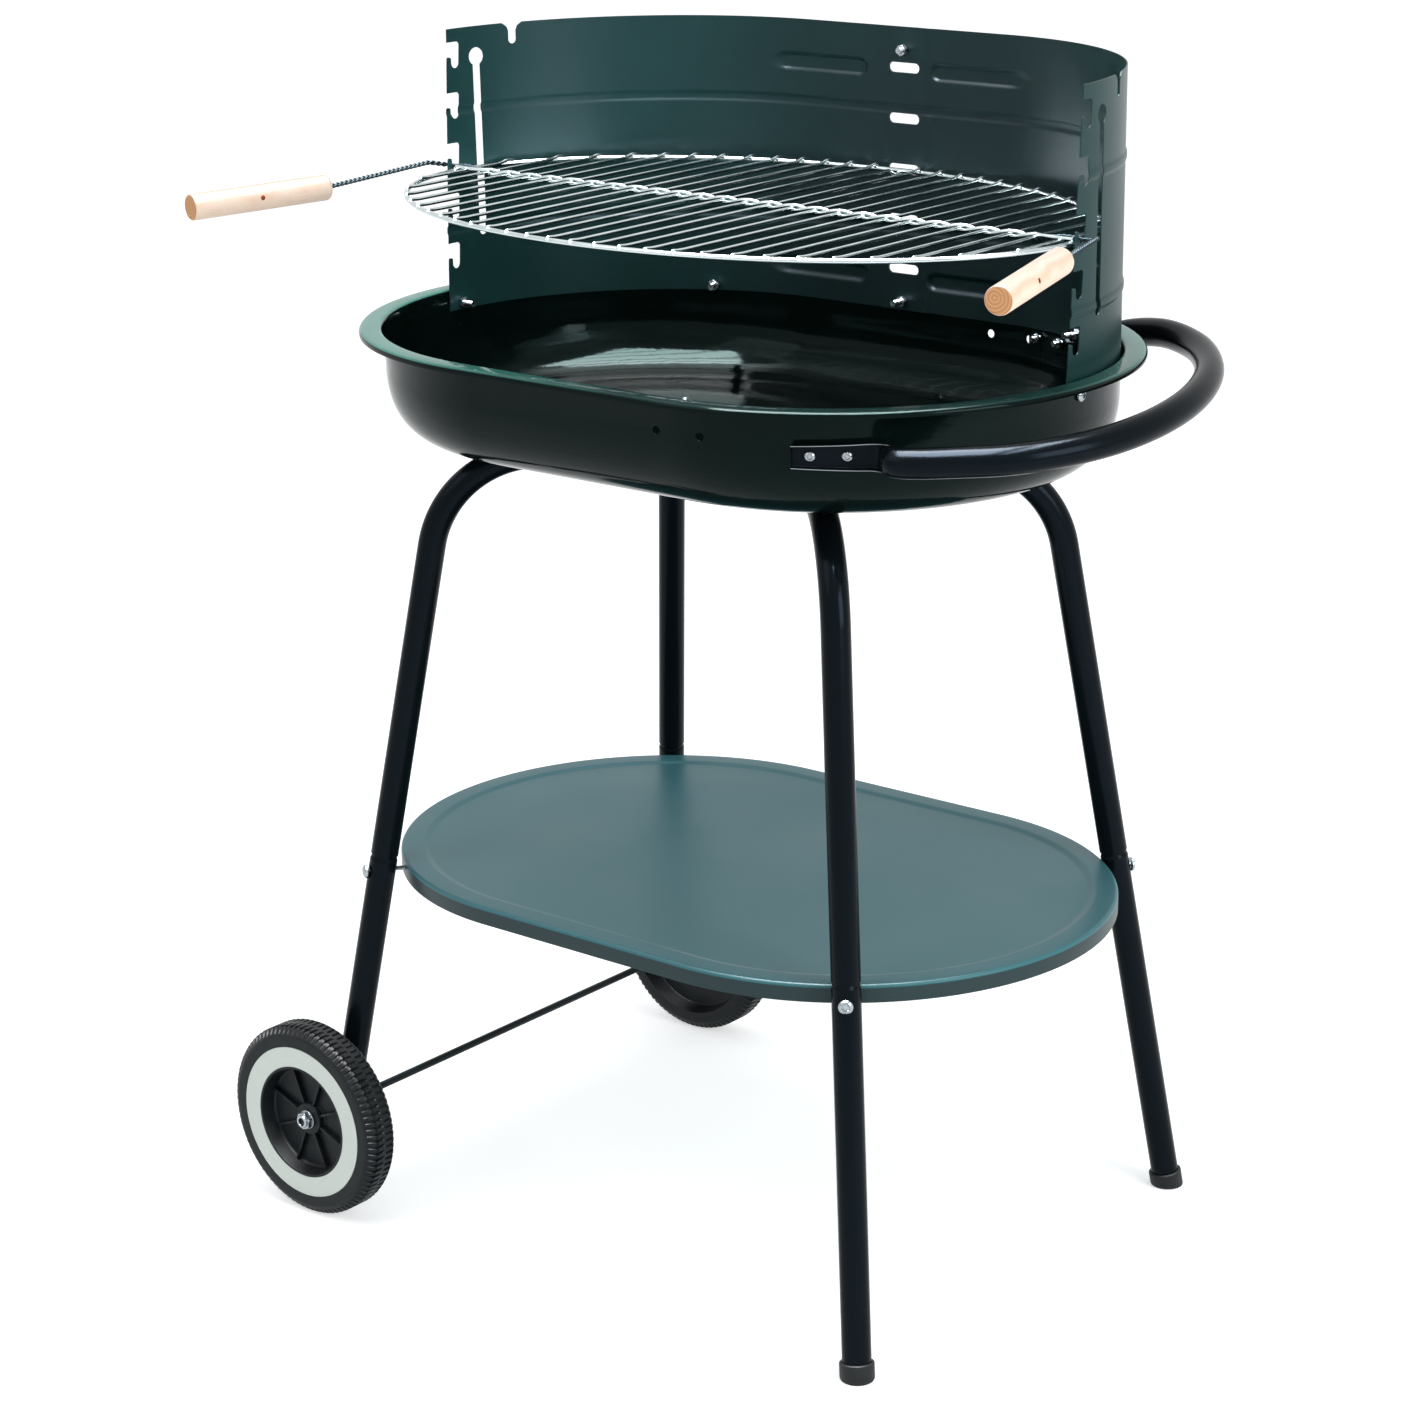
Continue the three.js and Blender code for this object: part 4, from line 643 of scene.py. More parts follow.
shieldLow, shieldHigh = boxOf("windshield_left")
shieldTop, shieldBottom = shieldHigh[2], shieldLow[2]
shieldRise = shieldTop - shieldBottom
dentTop = (shield["dents"][0][1] + shield["dentHalfHeight"] - shield["dentSlope"] - shieldBottom) / shieldRise
shieldRadius = shieldHigh[1] - shield["dentDepth"] - shield["lean"] * dentTop


def shieldReach(x, fromBack, z):
    # the sheet's radius: it leans out with height, more so at its free ends, swells at the two
    # beads, and is pressed outwards in long dents with rounded ends either side of the seam
    rise = (z - shieldBottom) / shieldRise
    front = np.clip((fromBack - shield["splayFrom"]) / (shield["splayFull"] - shield["splayFrom"]), 0, 1)
    reach = shieldRadius + rise * (shield["lean"] + shield["splay"] * front ** 2)
    for height in shield["beads"]:
        reach = reach + shield["beadDepth"] * smoothStep(1.5 - 1.5 * np.abs(z - height) / shield["beadHalfWidth"])
    for middle, height in shield["dents"]:
        past = np.maximum(np.abs(x - middle) - shield["dentHalfLength"] + shield["dentHalfHeight"], 0)
        away = np.hypot(past, z - height)
        reach = reach + shield["dentDepth"] * smoothStep((shield["dentHalfHeight"] - away) / shield["dentSlope"])
    return reach


def shieldHeights():  # closer together across the beads and the dents
    fine = [np.arange(h - 7, h + 7.1, 1.0) for h in shield["beads"]]
    fine += [np.arange(h - 9, h + 9.1, 1.2) for h in {d[1] for d in shield["dents"]}]
    every = np.concatenate([np.linspace(shieldBottom, shieldTop, 30), *fine])
    inside = every[(every > shieldBottom + 0.5) & (every < shieldTop - 0.5)]
    return np.concatenate([[shieldBottom], np.unique(np.round(inside, 1)), [shieldTop]])


def shieldGrids(side, inner):
    # across the sheet: round the arc from the free edge to the back, then along the straight
    # run to the lap; the inner half steps in by its own thickness there
    turn = np.linspace(shield["sweep"], 0, 60)
    run = np.arange(bowlHalfRun, -shield["overlap"] - 0.1, -shield["runStep"])[1:]
    x = side * np.concatenate([np.full(len(turn), bowlHalfRun), run])
    fromBack = np.concatenate([turn, np.zeros(len(run))])
    step = (shield["sheet"] + shield["seatGap"]) if inner else 0.0
    inset = step * smoothStep((shield["overlap"] + shield["joggle"] - side * x) / shield["joggle"])
    z = shieldHeights()
    angle = np.radians(90 - side * fromBack)[:, None]
    place = x[:, None] + shieldRadius * np.cos(angle) + 0 * z
    reach = shieldReach(place, fromBack[:, None], z[None]) - inset[:, None]

    def sheetAt(radius):
        return np.stack([middleX + x[:, None] + radius * np.cos(angle), radius * np.sin(angle),
                         np.broadcast_to(z, radius.shape)], -1)

    return sheetAt(reach), sheetAt(reach - shield["sheet"])


def edgeY(z):
    share = (z - shieldBottom) / shieldRise
    return shield["edgeBottomY"] + (shield["edgeTopY"] - shield["edgeBottomY"]) * share


def arc(y, z, radius, start, end, steps=10):  # degrees, counter-clockwise from +Y
    turn = np.radians(np.linspace(start, end, steps))
    return np.stack([y + radius * np.cos(turn), z + radius * np.sin(turn)], -1)


def notchSlot(index):
    z = notch["top"] - index * notch["pitch"] - notch["drop"] + notch["slotRadius"]
    return edgeY(z) + notch["depth"] - notch["slotRadius"], z


def edgeOutline():
    # what lies in front of the free edge: hooked notches, each a mouth, a tooth and a slot
    past, front = shield["cutPast"], shield["cutFront"]
    line = [[(front, shieldBottom - past), (edgeY(shieldBottom), shieldBottom - past)]]
    for index in reversed(range(notch["count"])):
        top = notch["top"] - index * notch["pitch"]
        tip = top - notch["toothDrop"]
        slotY, slotZ = notchSlot(index)
        inner = slotY - notch["slotRadius"]
        tooth = roundedLine([(edgeY(tip - 8), tip - 8), (edgeY(tip) + 0.2, tip), (inner, tip - 1), (inner, slotZ)],
                            (1.4, 1.2), 4)
        line += [tooth, arc(slotY, slotZ, notch["slotRadius"], 180, 360),
                 arc(edgeY(top) + notch["depth"] - notch["corner"], top - notch["corner"], notch["corner"], 0, 90),
                 [(edgeY(top), top)]]
    line.append([(edgeY(shieldTop), shieldTop + past), (front, shieldTop + past)])
    return np.concatenate(line)


def keyholeOutline():  # a round hole with a long slot below it
    half = keyhole["slotWidth"] / 2
    spread = np.degrees(np.arcsin(half / keyhole["radius"]))
    return np.concatenate([arc(keyhole["y"], keyhole["bottom"] + half, half, 180, 360),
                           arc(keyhole["y"], keyhole["top"] - keyhole["radius"], keyhole["radius"],
                               spread - 90, 270 - spread, 24)])


def topNotchOutline():  # a slot open at the top edge, with flared lips
    half = topNotch["width"] / 2
    lip = np.array([(2.6, shield["cutPast"]), (2.6, 0.2), (1.4, -0.8 * half), (1.0, -1.8 * half)])
    right = np.stack([topNotch["y"] + half * lip[:, 0], shieldTop + lip[:, 1]], -1)
    left = np.stack([topNotch["y"] - half * lip[:, 0], shieldTop + lip[:, 1]], -1)
    bottom = arc(topNotch["y"], shieldTop - topNotch["depth"] + half, half, 0, -180)
    return np.concatenate([right, bottom, left[::-1]])


def rearSlotOutline(index):  # a level slot with round ends
    z = shieldTop - shield["rearSlotDrop"] - index * notch["pitch"]
    radius = shield["rearSlotHeight"] / 2
    run = shield["rearSlotHalfLength"] - radius
    return np.concatenate([arc(run, z, radius, -90, 90), arc(-run, z, radius, 90, 270)])


def prism(outline, start, depth, alongX):
    # a closed outline pushed along X (outline in Y and Z) or along Y (outline in X and Z)
    layers = []
    for at in (start, start + depth):
        level = np.full(len(outline), float(at))
        first, second = (level, outline[:, 0]) if alongX else (middleX + outline[:, 0], level)
        layers.append(np.stack([first, second, outline[:, 1]], -1))
    count = len(outline)
    turn = np.arange(count)
    faces = np.stack([turn, (turn + 1) % count, (turn + 1) % count + count, turn + count], -1).tolist()
    faces += [turn[::-1].tolist(), (turn + count).tolist()]
    return outwards(np.concatenate(layers), faces)


def addWindshield(side, word, inner):
    outer, inside = shieldGrids(side, inner)
    mesh = newMesh(word, [closedSheet(outer, inside)])
    near, depth = shield["cutFrom"], shield["cutDepth"]
    start = middleX + (bowlHalfRun + near if side > 0 else -bowlHalfRun - (near + depth))
    outlines = edgeOutline(), keyholeOutline(), topNotchOutline()
    cutters = [prism(outline, start, depth, True) for outline in outlines]
    cutters += [prism(rearSlotOutline(i), shieldRadius - 12, 24, False) for i in range(notch["count"])]
    mesh = cutOut(mesh, cutters, stovePaint, cutEdgePaint)
    addPiece(f"windshieldSheet{word}", mesh, stovePaint, "frame",
             [f"windshield_{word.lower()}"], 30)


# painted shade: darker paint on the sheet's inside, low at the back near the bowl
fadeIn(stovePaint, shield["fireSide"], *shield["fireReach"], shield["lowColour"])
addWindshield(-1, "Left", False)
addWindshield(1, "Right", True)
print("windshield made")


# Cooking grate

grate = {
    "halfLength": 296.0, "halfDepth": 196.0, "centreY": 0.5, "rimWire": 2.0, "rodWire": 1.4,
    "rodPitch": 22.0, "rodPairs": 13, "rodDrop": 1.3, "hookDrop": 2.0,
    "twistWire": 1.5, "twistPress": 0.6, "twistSpread": 0.8, "twistEndIn": 22.0,
    "handleWire": 2.0, "seatGap": 0.3, "tongueReach": 7.0, "ropePitch": 9.0,
}
grip = {
    "radius": 10.2, "round": 3.5, "endRound": 1.6, "bore": 2.3, "boreDepth": 24.0, "endSkin": 0.4,
    "pinRadius": 1.9, "pinLength": 3.05, "pinSunk": 2.9, "pinShare": {"left": 0.52, "right": 0.58},
    "pinFacing": (0.61, -0.73, 0.08),
    "corners": {"left": (-321, -5, 815.5), "right": (321, -4, 817.5)},
}
slotY, slotZ = notchSlot(notch["used"])
restZ = slotZ - notch["slotRadius"] + grate["handleWire"] + grate["seatGap"]
rodZ = restZ - grate["rodDrop"]
rimZ = rodZ - grate["rodWire"]
twistEnd = np.floor((grate["halfLength"] - grate["twistEndIn"]) / grate["rodPitch"]) * grate["rodPitch"]
twistSwing = (grate["rodWire"] + grate["twistWire"]) * grate["twistPress"]
level = np.array([0.0, 0.0, 1.0])


def smoothPath(points, steps=12):
    points = np.asarray(points, float)
    slope = np.gradient(points, axis=0)
    return curveThrough(points, (slope[:-1, None], slope[1:, None]), steps)


def onMiddle(points):
    return np.asarray(points, float) + [middleX, 0, 0]


def rimPart():
    turn = fullTurn(260)
    path = np.stack([grate["halfLength"] * np.cos(turn), grate["centreY"] + grate["halfDepth"] * np.sin(turn),
                     np.full(len(turn), rimZ)], -1)
    return sweep(onMiddle(path), circle(grate["rimWire"], 14), level, closed=True)


def rodPath(index):
    # a straight rod, welded down on the rim in front and hooked over it behind; the middle rod's
    # rear end dips under the rim and reaches out through the rear slot
    x = index * grate["rodPitch"]
    lean = np.sqrt(1 - (x / grate["halfLength"]) ** 2)
    reach = grate["halfDepth"] * lean
    # each hook in (distance from the middle line, height)
    hook = [(reach - 12, rodZ), (reach - 6, rodZ + 0.2), (reach - 1, rodZ + 0.7), (reach + 0.8, rodZ + 0.3),
            (reach + 1.6, rodZ - 1.2)]
    wrap = (grate["rimWire"] + grate["rodWire"] - 0.2) * min(3, 1 / lean)
    over = rimZ + grate["rimWire"] + grate["rodWire"] - 0.3
    hooked = [(reach - 12, rodZ), (reach - 7, rodZ + 0.6), (reach - 0.5, over),
              (reach + 0.75 * wrap, rimZ + grate["rimWire"]), (reach + wrap, rimZ - grate["hookDrop"])]
    front = [(x, grate["centreY"] - y, z) for y, z in hook[::-1]]
    back = [(x, grate["centreY"] + y, z) for y, z in hooked]
    if index == 0:
        under = rimZ - grate["rimWire"] - grate["rodWire"]
        slotMiddle = shieldTop - shield["rearSlotDrop"] - notch["used"] * notch["pitch"]
        tongue = slotMiddle - shield["rearSlotHeight"] / 2 + grate["rodWire"] + grate["seatGap"]
        out, edge = shieldRadius + shield["lean"] + grate["tongueReach"], grate["halfDepth"]
        back = [(0, edge - 12, rodZ), (0, edge - 3, under), (0, edge + 2, under), (0, edge + 6, tongue),
                (0, out, tongue)]
    return np.concatenate([smoothPath(front, 5), smoothPath(back, 5)])


def twistPath(phase):
    # the two long wires cross between each pair of rods and pass over and under them by turns
    x = np.linspace(-twistEnd, twistEnd, int(2 * twistEnd / grate["rodPitch"]) * 14 + 1)
    turn = np.pi * x / grate["rodPitch"]
    spread = grate["twistSpread"] * grate["twistWire"]
    return np.stack([x, slotY + phase * spread * np.sin(turn), rodZ + phase * twistSwing * np.cos(turn)], -1)


def gripAxis(word):
    # a grip's two ends: the direction in which its corners spread most, and how far they reach
    corners = solidCorners(f"wooden_grip_{word}")
    middle = (corners.max(0) + corners.min(0)) / 2
    along = longAxis(corners - corners.mean(0))
    along *= -np.sign(along[1])
    reach = (corners - middle) @ along
    return middle + along * reach.min(), middle + along * reach.max(), along


def handlePath(word):
    # from the twist over the rim, through the notch, round the bend and into the grip
    side = -1 if word == "left" else 1
    low = rodZ - twistSwing * np.cos(np.pi * twistEnd / grate["rodPitch"])
    near, far, along = gripAxis(word)
    near, corner = near - [middleX, 0, 0], np.array(grip["corners"][word], float)
    edge = grate["halfLength"]
    start = [(side * (twistEnd - 2), slotY, low), (side * (edge - 10), slotY, restZ + 0.7),
             (side * (edge + 6), slotY, restZ), (side * (edge + 15), slotY, restZ + 0.3)]
    bend = roundedLine([start[-1], corner, near, near + along * 40], (9, 14), 8)
    return np.concatenate([smoothPath(start, 8)[:-1], bend])


def ropeParts(path, radius):
    # two strands wound round each other along a path, one turn for each pitch of its length
    path, even = evenlyAlong(path, 14 / grate["ropePitch"])
    tangent = unit(np.gradient(path, axis=0))
    across = unit(np.cross(tangent, level))
    upward = np.cross(across, tangent)
    parts = []
    for phase in (0, np.pi):
        turn = (2 * np.pi * even / grate["ropePitch"] + phase)[:, None]
        strand = path + radius / 2 * (np.cos(turn) * across + np.sin(turn) * upward)
        parts.append(sweep(strand, circle(radius / 2, 10), level))
    return parts


def addGrate():
    rods = range(-grate["rodPairs"], grate["rodPairs"] + 1)
    rod, twist = circle(grate["rodWire"], 10), circle(grate["twistWire"], 10)
    parts = [rimPart()] + [sweep(onMiddle(rodPath(i)), rod, (1, 0, 0)) for i in rods]
    parts += [sweep(onMiddle(twistPath(phase)), twist, level) for phase in (-1, 1)]
    high = rodZ + twistSwing * np.cos(np.pi * twistEnd / grate["rodPitch"])
    for side in (-1, 1):
        tail = [(side * (twistEnd - 2), slotY, high), (side * (twistEnd + 8), slotY - 2, rodZ + 1.4),
                (side * (grate["halfLength"] + 1), slotY - 4, rimZ + grate["rimWire"] + 1)]
        parts.append(sweep(onMiddle(smoothPath(tail)), twist, level))
    addSolid("chromedGrate", parts, chromePlate, "grate", ["cooking_grate"], 50)
    for word in ("left", "right"):
        rope = ropeParts(onMiddle(handlePath(word)), grate["handleWire"])
        addSolid(f"handleWire{words(word)}", rope, dullWire, "grate", [], 50)


def addGrip(word):
    # a turned handle, bored for the wire, with its place along the grain kept on each point
    near, far, along = gripAxis(word)
    length = np.linalg.norm(far - near)
    r, bore, depth = grip["radius"], grip["bore"], grip["boreDepth"]
    body = roundedLine([(bore, 0), (r, 0), (r, length), (0, length)], (grip["round"], grip["endRound"]), 8)
    inner = np.linspace(body[-2, 0], 0, 8)[1:]
    line = np.concatenate([[(0, depth), (bore, depth)], body[:-1], np.stack([inner, np.full(7, length)], -1)])
    mesh = newMesh(f"grip{word}", [turned(line, near, along, 64)])
    weld(mesh)
    place = np.empty(len(mesh.vertices) * 3)
    mesh.vertices.foreach_get("co", place)
    place = place.reshape(-1, 3) - near / 1000
    across = unit(np.cross(along, level))
    storeOnPoints(mesh, "grain", np.stack([place @ along, place @ across, place @ np.cross(across, along)], -1))
    storeOnPoints(mesh, "endGrain", place @ along > (length - grip["endSkin"]) / 1000)
    addPiece(f"beechGrip{words(word)}", mesh, beech, "grate", [f"wooden_grip_{word}"], 40)
    facing = np.array(grip["pinFacing"])
    towards = unit(facing - along * (facing @ along))
    pin = near + along * length * grip["pinShare"][word] + towards * (r - grip["pinSunk"])
    p, top = grip["pinRadius"], grip["pinLength"]
    part = turned([(0, 0), (p, 0), (p, top - 0.15), (p - 0.4, top), (0, top)], pin, towards, 20)
    addSolid(f"gripPin{words(word)}", [part], brownedSteel, "grate", [])


addGrate()
addGrip("left")
addGrip("right")
print("grate and grips made")


# Legs and foot caps

leg = {
    "radius": 11.0, "bendRadius": 85.0, "corner": (188.7, 136.6), "run": 102.0, "joint": 293.0,
    "restSlope": (0.1197, 0.1193), "wheelSlope": (0.1362, 0.1309),  # outward per mm of drop
    "neckShow": 4.0, "neckRecess": 0.8, "neckLength": 38.0, "wall": 1.0, "seatGap": 0.3,
    "padHalfWidth": 15.0, "padThickness": 5.0, "padLength": 13.0, "padFlat": 9.1, "padTaper": 20.0,
    "wheelEndDrop": 17.0, "openLength": 25.0,
}
footCap = {"wall": 1.8, "height": 13.0, "floor": 2.4, "round": 1.6, "lip": 0.8, "legAbove": 3.0, "seatAbove": 3.2}
legTop = bowlLow[2] - leg["seatGap"] - leg["radius"]
legs = [(f"{end}_{place}", sideX, sideY, leg["restSlope"] if end == "rest" else leg["wheelSlope"])
        for end, sideX in (("rest", 1), ("wheel", -1)) for place, sideY in (("front", -1), ("back", 1))]
wheelHigh = boxOf("wheel_back")[1]
wheelRadius = wheelHigh[2] / 2


def legPoint(sideX, sideY, slope, height):
    drop = legTop - height
    return np.array([middleX + sideX * (leg["corner"][0] + slope[0] * drop),
                     sideY * (leg["corner"][1] + slope[1] * drop), height])


def upperLegPart(sideX, sideY, slope):
    # flattened under the bowl, then round, bent down and straight to the joint
    outward = unit(np.array([sideX * slope[0], sideY * slope[1], 0.0]))
    corner = legPoint(sideX, sideY, slope, legTop)
    start = corner - outward * (leg["run"] + leg["padLength"])
    bend = roundedLine([start, corner, legPoint(sideX, sideY, slope, leg["joint"])], (leg["bendRadius"],), 28)
    pad = np.linspace(start, bend[1], 40)[:-1]
    path = np.concatenate([pad, bend[1:]])
    along = np.linalg.norm(path - start, axis=1)
    flat = 1 - smoothStep((along - leg["padLength"] - leg["padFlat"]) / leg["padTaper"])[:, None]
    halfThick = leg["radius"] + (leg["padThickness"] / 2 - leg["radius"]) * flat
    halfWide = leg["radius"] + (leg["padHalfWidth"] - leg["radius"]) * flat
    ring = circle(1, 40)
    section = np.stack([ring[:, 0] * halfThick - (leg["radius"] - halfThick), ring[:, 1] * halfWide], -1)
    return sweep(path, section, np.cross(outward, level))


def lowerLegPart(sideX, sideY, slope):
    joint = legPoint(sideX, sideY, slope, leg["joint"])
    footHeight = wheelRadius - leg["wheelEndDrop"] if sideX < 0 else footCap["floor"] + footCap["legAbove"]
    foot = legPoint(sideX, sideY, slope, footHeight)
    length = np.linalg.norm(foot - joint)
    r, neck, bore = leg["radius"], leg["radius"] - leg["neckRecess"], leg["radius"] - leg["wall"]
    swell = roundedLine([(neck, -leg["neckLength"]), (neck, leg["neckShow"] - 2), (r, leg["neckShow"] + 0.6),
                         (r, length)], (1.5, 1.5), 5)
    deep = length - leg["openLength"]
    line = np.concatenate([[(0, -leg["neckLength"])], swell, [(bore, length), (bore, deep), (0, deep)]])
    return turned(line, joint, foot - joint, 40)


def capPart(sideX, sideY, slope):
    # a slanted cup: its rings are level at the floor and square to the leg at the top
    low, high = legPoint(sideX, sideY, slope, 0), legPoint(sideX, sideY, slope, footCap["height"])
    down = unit(low - high)
    side = unit(np.cross(down, level))
    other = np.cross(side, down)
    outer = leg["radius"] + leg["seatGap"] + footCap["wall"]
    inner = leg["radius"] + leg["seatGap"]
    top, q, lip = footCap["height"], footCap["round"], footCap["lip"]
    seat = footCap["floor"] + footCap["seatAbove"]
    rings = np.array([(0, 0, 0), (outer - q, 0, 0), (outer - 0.3 * q, 0.3 * q, 0), (outer, q, 0),
                      (outer, top - lip, 1), (outer - lip, top, 1), (inner, top, 1), (inner, seat, 1), (0, seat, 1)])
    turn = fullTurn(48)[:, None]
    spoke = np.cos(turn) * side + np.sin(turn) * other
    reach = rings[:, None, :1] * spoke
    slide = -reach[..., 2:] / down[2] * (1 - rings[:, None, 2:])
    axis = low + (high - low) * (rings[:, None, 1:2] / top)
    return closedGrid(axis + reach + slide * down)


for name, *stance in legs:
    addSolid(f"upperTube{words(name)}", [upperLegPart(*stance)], powderCoat, "frame",
             [f"leg_upper_{name}"])
    addSolid(f"lowerTube{words(name)}", [lowerLegPart(*stance)], powderCoat, "frame",
             [f"leg_lower_{name}"])
    if stance[0] > 0:
        addSolid(f"footCap{words(name)}", [capPart(*stance)], capPlastic, "frame",
                 [f"foot_cap_{name}"])
print("legs made")


# Shelf

shelf = {
    "sheet": 1.0, "edgeRound": 3.0, "step": 17.0, "stepWidth": 7.0, "stepDepth": 1.6,
    # painted light: the top face is painted a lighter teal as painted sky reflection, over the darker paint that the
    # skirt keeps
    "faceColour": "#3a7078", "faceFilm": (-3.4, -2.4),  # below the top; the skirt is darker
}
shelfLow, shelfHigh = boxOf("shelf")
shelfHalfRun = (shelfHigh[0] - shelfLow[0]) / 2 - shelfHigh[1]


def addShelf():
    # level and sunk a little inside a soft step, with a rounded edge and a skirt turned down
    edge, top = shelfHigh[1], shelfHigh[2]
    across = np.concatenate([np.linspace(0, edge - 34, 14), np.linspace(edge - 32, edge - 14, 28)])
    dip = shelf["stepDepth"] * smoothStep((edge - shelf["step"] - across) / shelf["stepWidth"])
    rim = roundedLine([(across[-1], top), (edge, top), (edge, shelfLow[2])], (shelf["edgeRound"],), 8)
    face = np.concatenate([np.stack([across, top - dip], -1)[:-1], rim])
    addSolid("shelfTray", [ovalPart(shelfHalfRun, thickened(face, -shelf["sheet"]))], bakedSheetPaint,
             "frame", ["shelf"], 40)


# painted reflection: lighter teal on the shelf's top face only
fadeIn(bakedSheetPaint, "Z", *(shelfHigh[2] + drop for drop in shelf["faceFilm"]), shelf["faceColour"])
addShelf()
print("shelf made")


# Push handle

handle = {
    # painted highlight: a pale colour along the lips of the pressed ends
    "rubbedColour": "#aab4b6", "sides": 66, "apart": 3.0,
    "radius": 11.0, "web": 2.6, "lipReach": 7.5, "lipBand": 0.16, "wornFrom": 0.3,
    "endHalfHeight": 8.5, "pressedLength": 55.0, "shoulder": 24.0,
    # each end's hold on the wall: degrees round the bowl's end, the tube's reach and its height
    "front": (-62.6, -47.5, 216.95, 679.0), "rear": (67.4, 82.6, 218.1, 690.0),
    # the loop between them: degrees, how far past the rim, height
    "loop": ((-43.4, 10.4, 680), (-34.2, 26, 681.5), (-27.2, 38.5, 683), (-19.7, 46.5, 685.5), (-10.9, 51, 688.5),
             (-2.3, 52, 692), (6.4, 51, 695.5), (16.1, 48.7, 699), (29.2, 45, 703.5), (42, 37.6, 707),
             (53.5, 24.6, 707), (61, 14, 701), (67, 4, 694)),
}


def evenPath(points, apart):
    # a smooth curve through the points, its slopes taken by distance, then points evenly along it
    points = np.asarray(points, float)
    chord = travelled(points)
    slope, span = np.gradient(points, chord, axis=0), np.diff(chord)[:, None, None]
    return evenlyAlong(curveThrough(points, (slope[:-1, None] * span, slope[1:, None] * span), 16), 1 / apart)


def pressedSection(count):
    # the flattened end in (outward, up): a doubled web against the bowl with a rolled lip
    # along its top and bottom
    r, w, lip = handle["radius"], handle["web"], handle["lipReach"]
    half = np.array([(w, 0.0), (w, 0.4), (w, 0.74), (w + 0.5, 0.82), (lip - 1.3, 0.84), (lip - 0.3, 0.87),
                     (lip, 0.92), (lip - 0.3, 0.97), (lip - 1.3, 1.0), (2.0, 0.97), (0.0, 0.8), (0.0, 0.0)])
    half -= [r, 0]
    whole = np.concatenate([half, half[-2::-1] * [1, -1]])
    at = np.linspace(0, len(whole) - 1, count, endpoint=False)
    return np.stack([np.interp(at, np.arange(len(whole)), whole[:, k]) for k in (0, 1)], -1)


def roundEnd(angle, reach, height):  # places round the bowl's handle end
    angle = np.radians(np.asarray(angle, float))
    return np.stack(np.broadcast_arrays(bowlHalfRun + reach * np.cos(angle), reach * np.sin(angle), height), -1)


def holdPath(start, end, reach, height):
    return roundEnd(np.linspace(start, end, 6), reach, height)


def handleSections(fromEnd):
    # pressed flat near the ends and round beyond the shoulder; also which points on the lips get a painted highlight
    pressed = 1 - smoothStep((fromEnd - handle["pressedLength"]) / handle["shoulder"])[:, None, None]
    toRound = np.clip(fromEnd / (handle["pressedLength"] + handle["shoulder"]), 0, 1)[:, None]
    halfHeight = handle["endHalfHeight"] + (handle["radius"] - handle["endHalfHeight"]) * toRound
    flat = pressedSection(handle["sides"])
    onLip = np.abs(flat[:, 0] + handle["radius"] - handle["lipReach"]) < handle["lipBand"]
    flat = np.stack([np.broadcast_to(flat[:, 0], halfHeight.shape[:1] + onLip.shape), flat[:, 1] * halfHeight], -1)
    section = flat * pressed + circle(handle["radius"], handle["sides"]) * (1 - pressed)
    return section, (pressed[:, :, 0] > handle["wornFrom"]) & onLip


def addHandle():
    angle, past, height = np.array(handle["loop"]).T
    loop = roundEnd(angle, bowlRim + past, height)[:-1]
    path, along = evenPath(np.concatenate([holdPath(*handle["front"]), loop, holdPath(*handle["rear"])]),
                           handle["apart"])
    section, worn = handleSections(np.minimum(along, along[-1] - along))
    mesh = newMesh("pushHandle", [sweep(onMiddle(path), section, level)])
    storeOnPoints(mesh, "worn", np.concatenate([worn.ravel(), [False, False]]))
    addPiece("pushHandle", mesh, rubbedPowderCoat, "frame", ["push_handle"], 40)


# The same powder coat with a painted highlight: a pale line along the pressed ends' lips, at the points that the
# stored attribute marks.
rubbedPowderCoat = powderCoat.copy()
rubbedPowderCoat.name = "rubbedPowderCoat"
lipHighlightShare = addNode(rubbedPowderCoat.node_tree, "Attribute", {"attribute_name": "worn"})
paintOver(rubbedPowderCoat, (lipHighlightShare, "Fac"), handle["rubbedColour"])
addHandle()
print("push handle made")


# Wheels

wheel = {
    "halfWidth": 15.3, "shoulder": 5.0, "bars": 90, "barShare": 0.56, "barEdge": 9, "treadDepth": 1.7,
    "treadBand": 4.0, "treadInset": 1.2, "treadFade": 2.0, "ridge": 0.9, "ridgeFade": 0.8,
    "ringOuter": 63.4, "ringInner": 46.8, "ringThick": 1.4, "ringRound": 0.5, "ringGap": 0.2,
    "dish": 13.0, "web": 4.0, "hubRadius": 13.0, "hubRise": 5.0, "hubSeat": 10.0, "bore": 3.1,
    "ribs": 8, "ribThick": 1.8, "ribShare": 0.3, "ribTaper": 0.98,
}
wheelWidth = wheelHigh[1] - boxOf("wheel_back")[0][1]
ringFace = boxOf("wheel_ring_back")[1][1]
axleX = sum(b[0] for b in boxOf("axle")) / 2
wheelMiddle = wheelHigh[1] - wheel["halfWidth"]


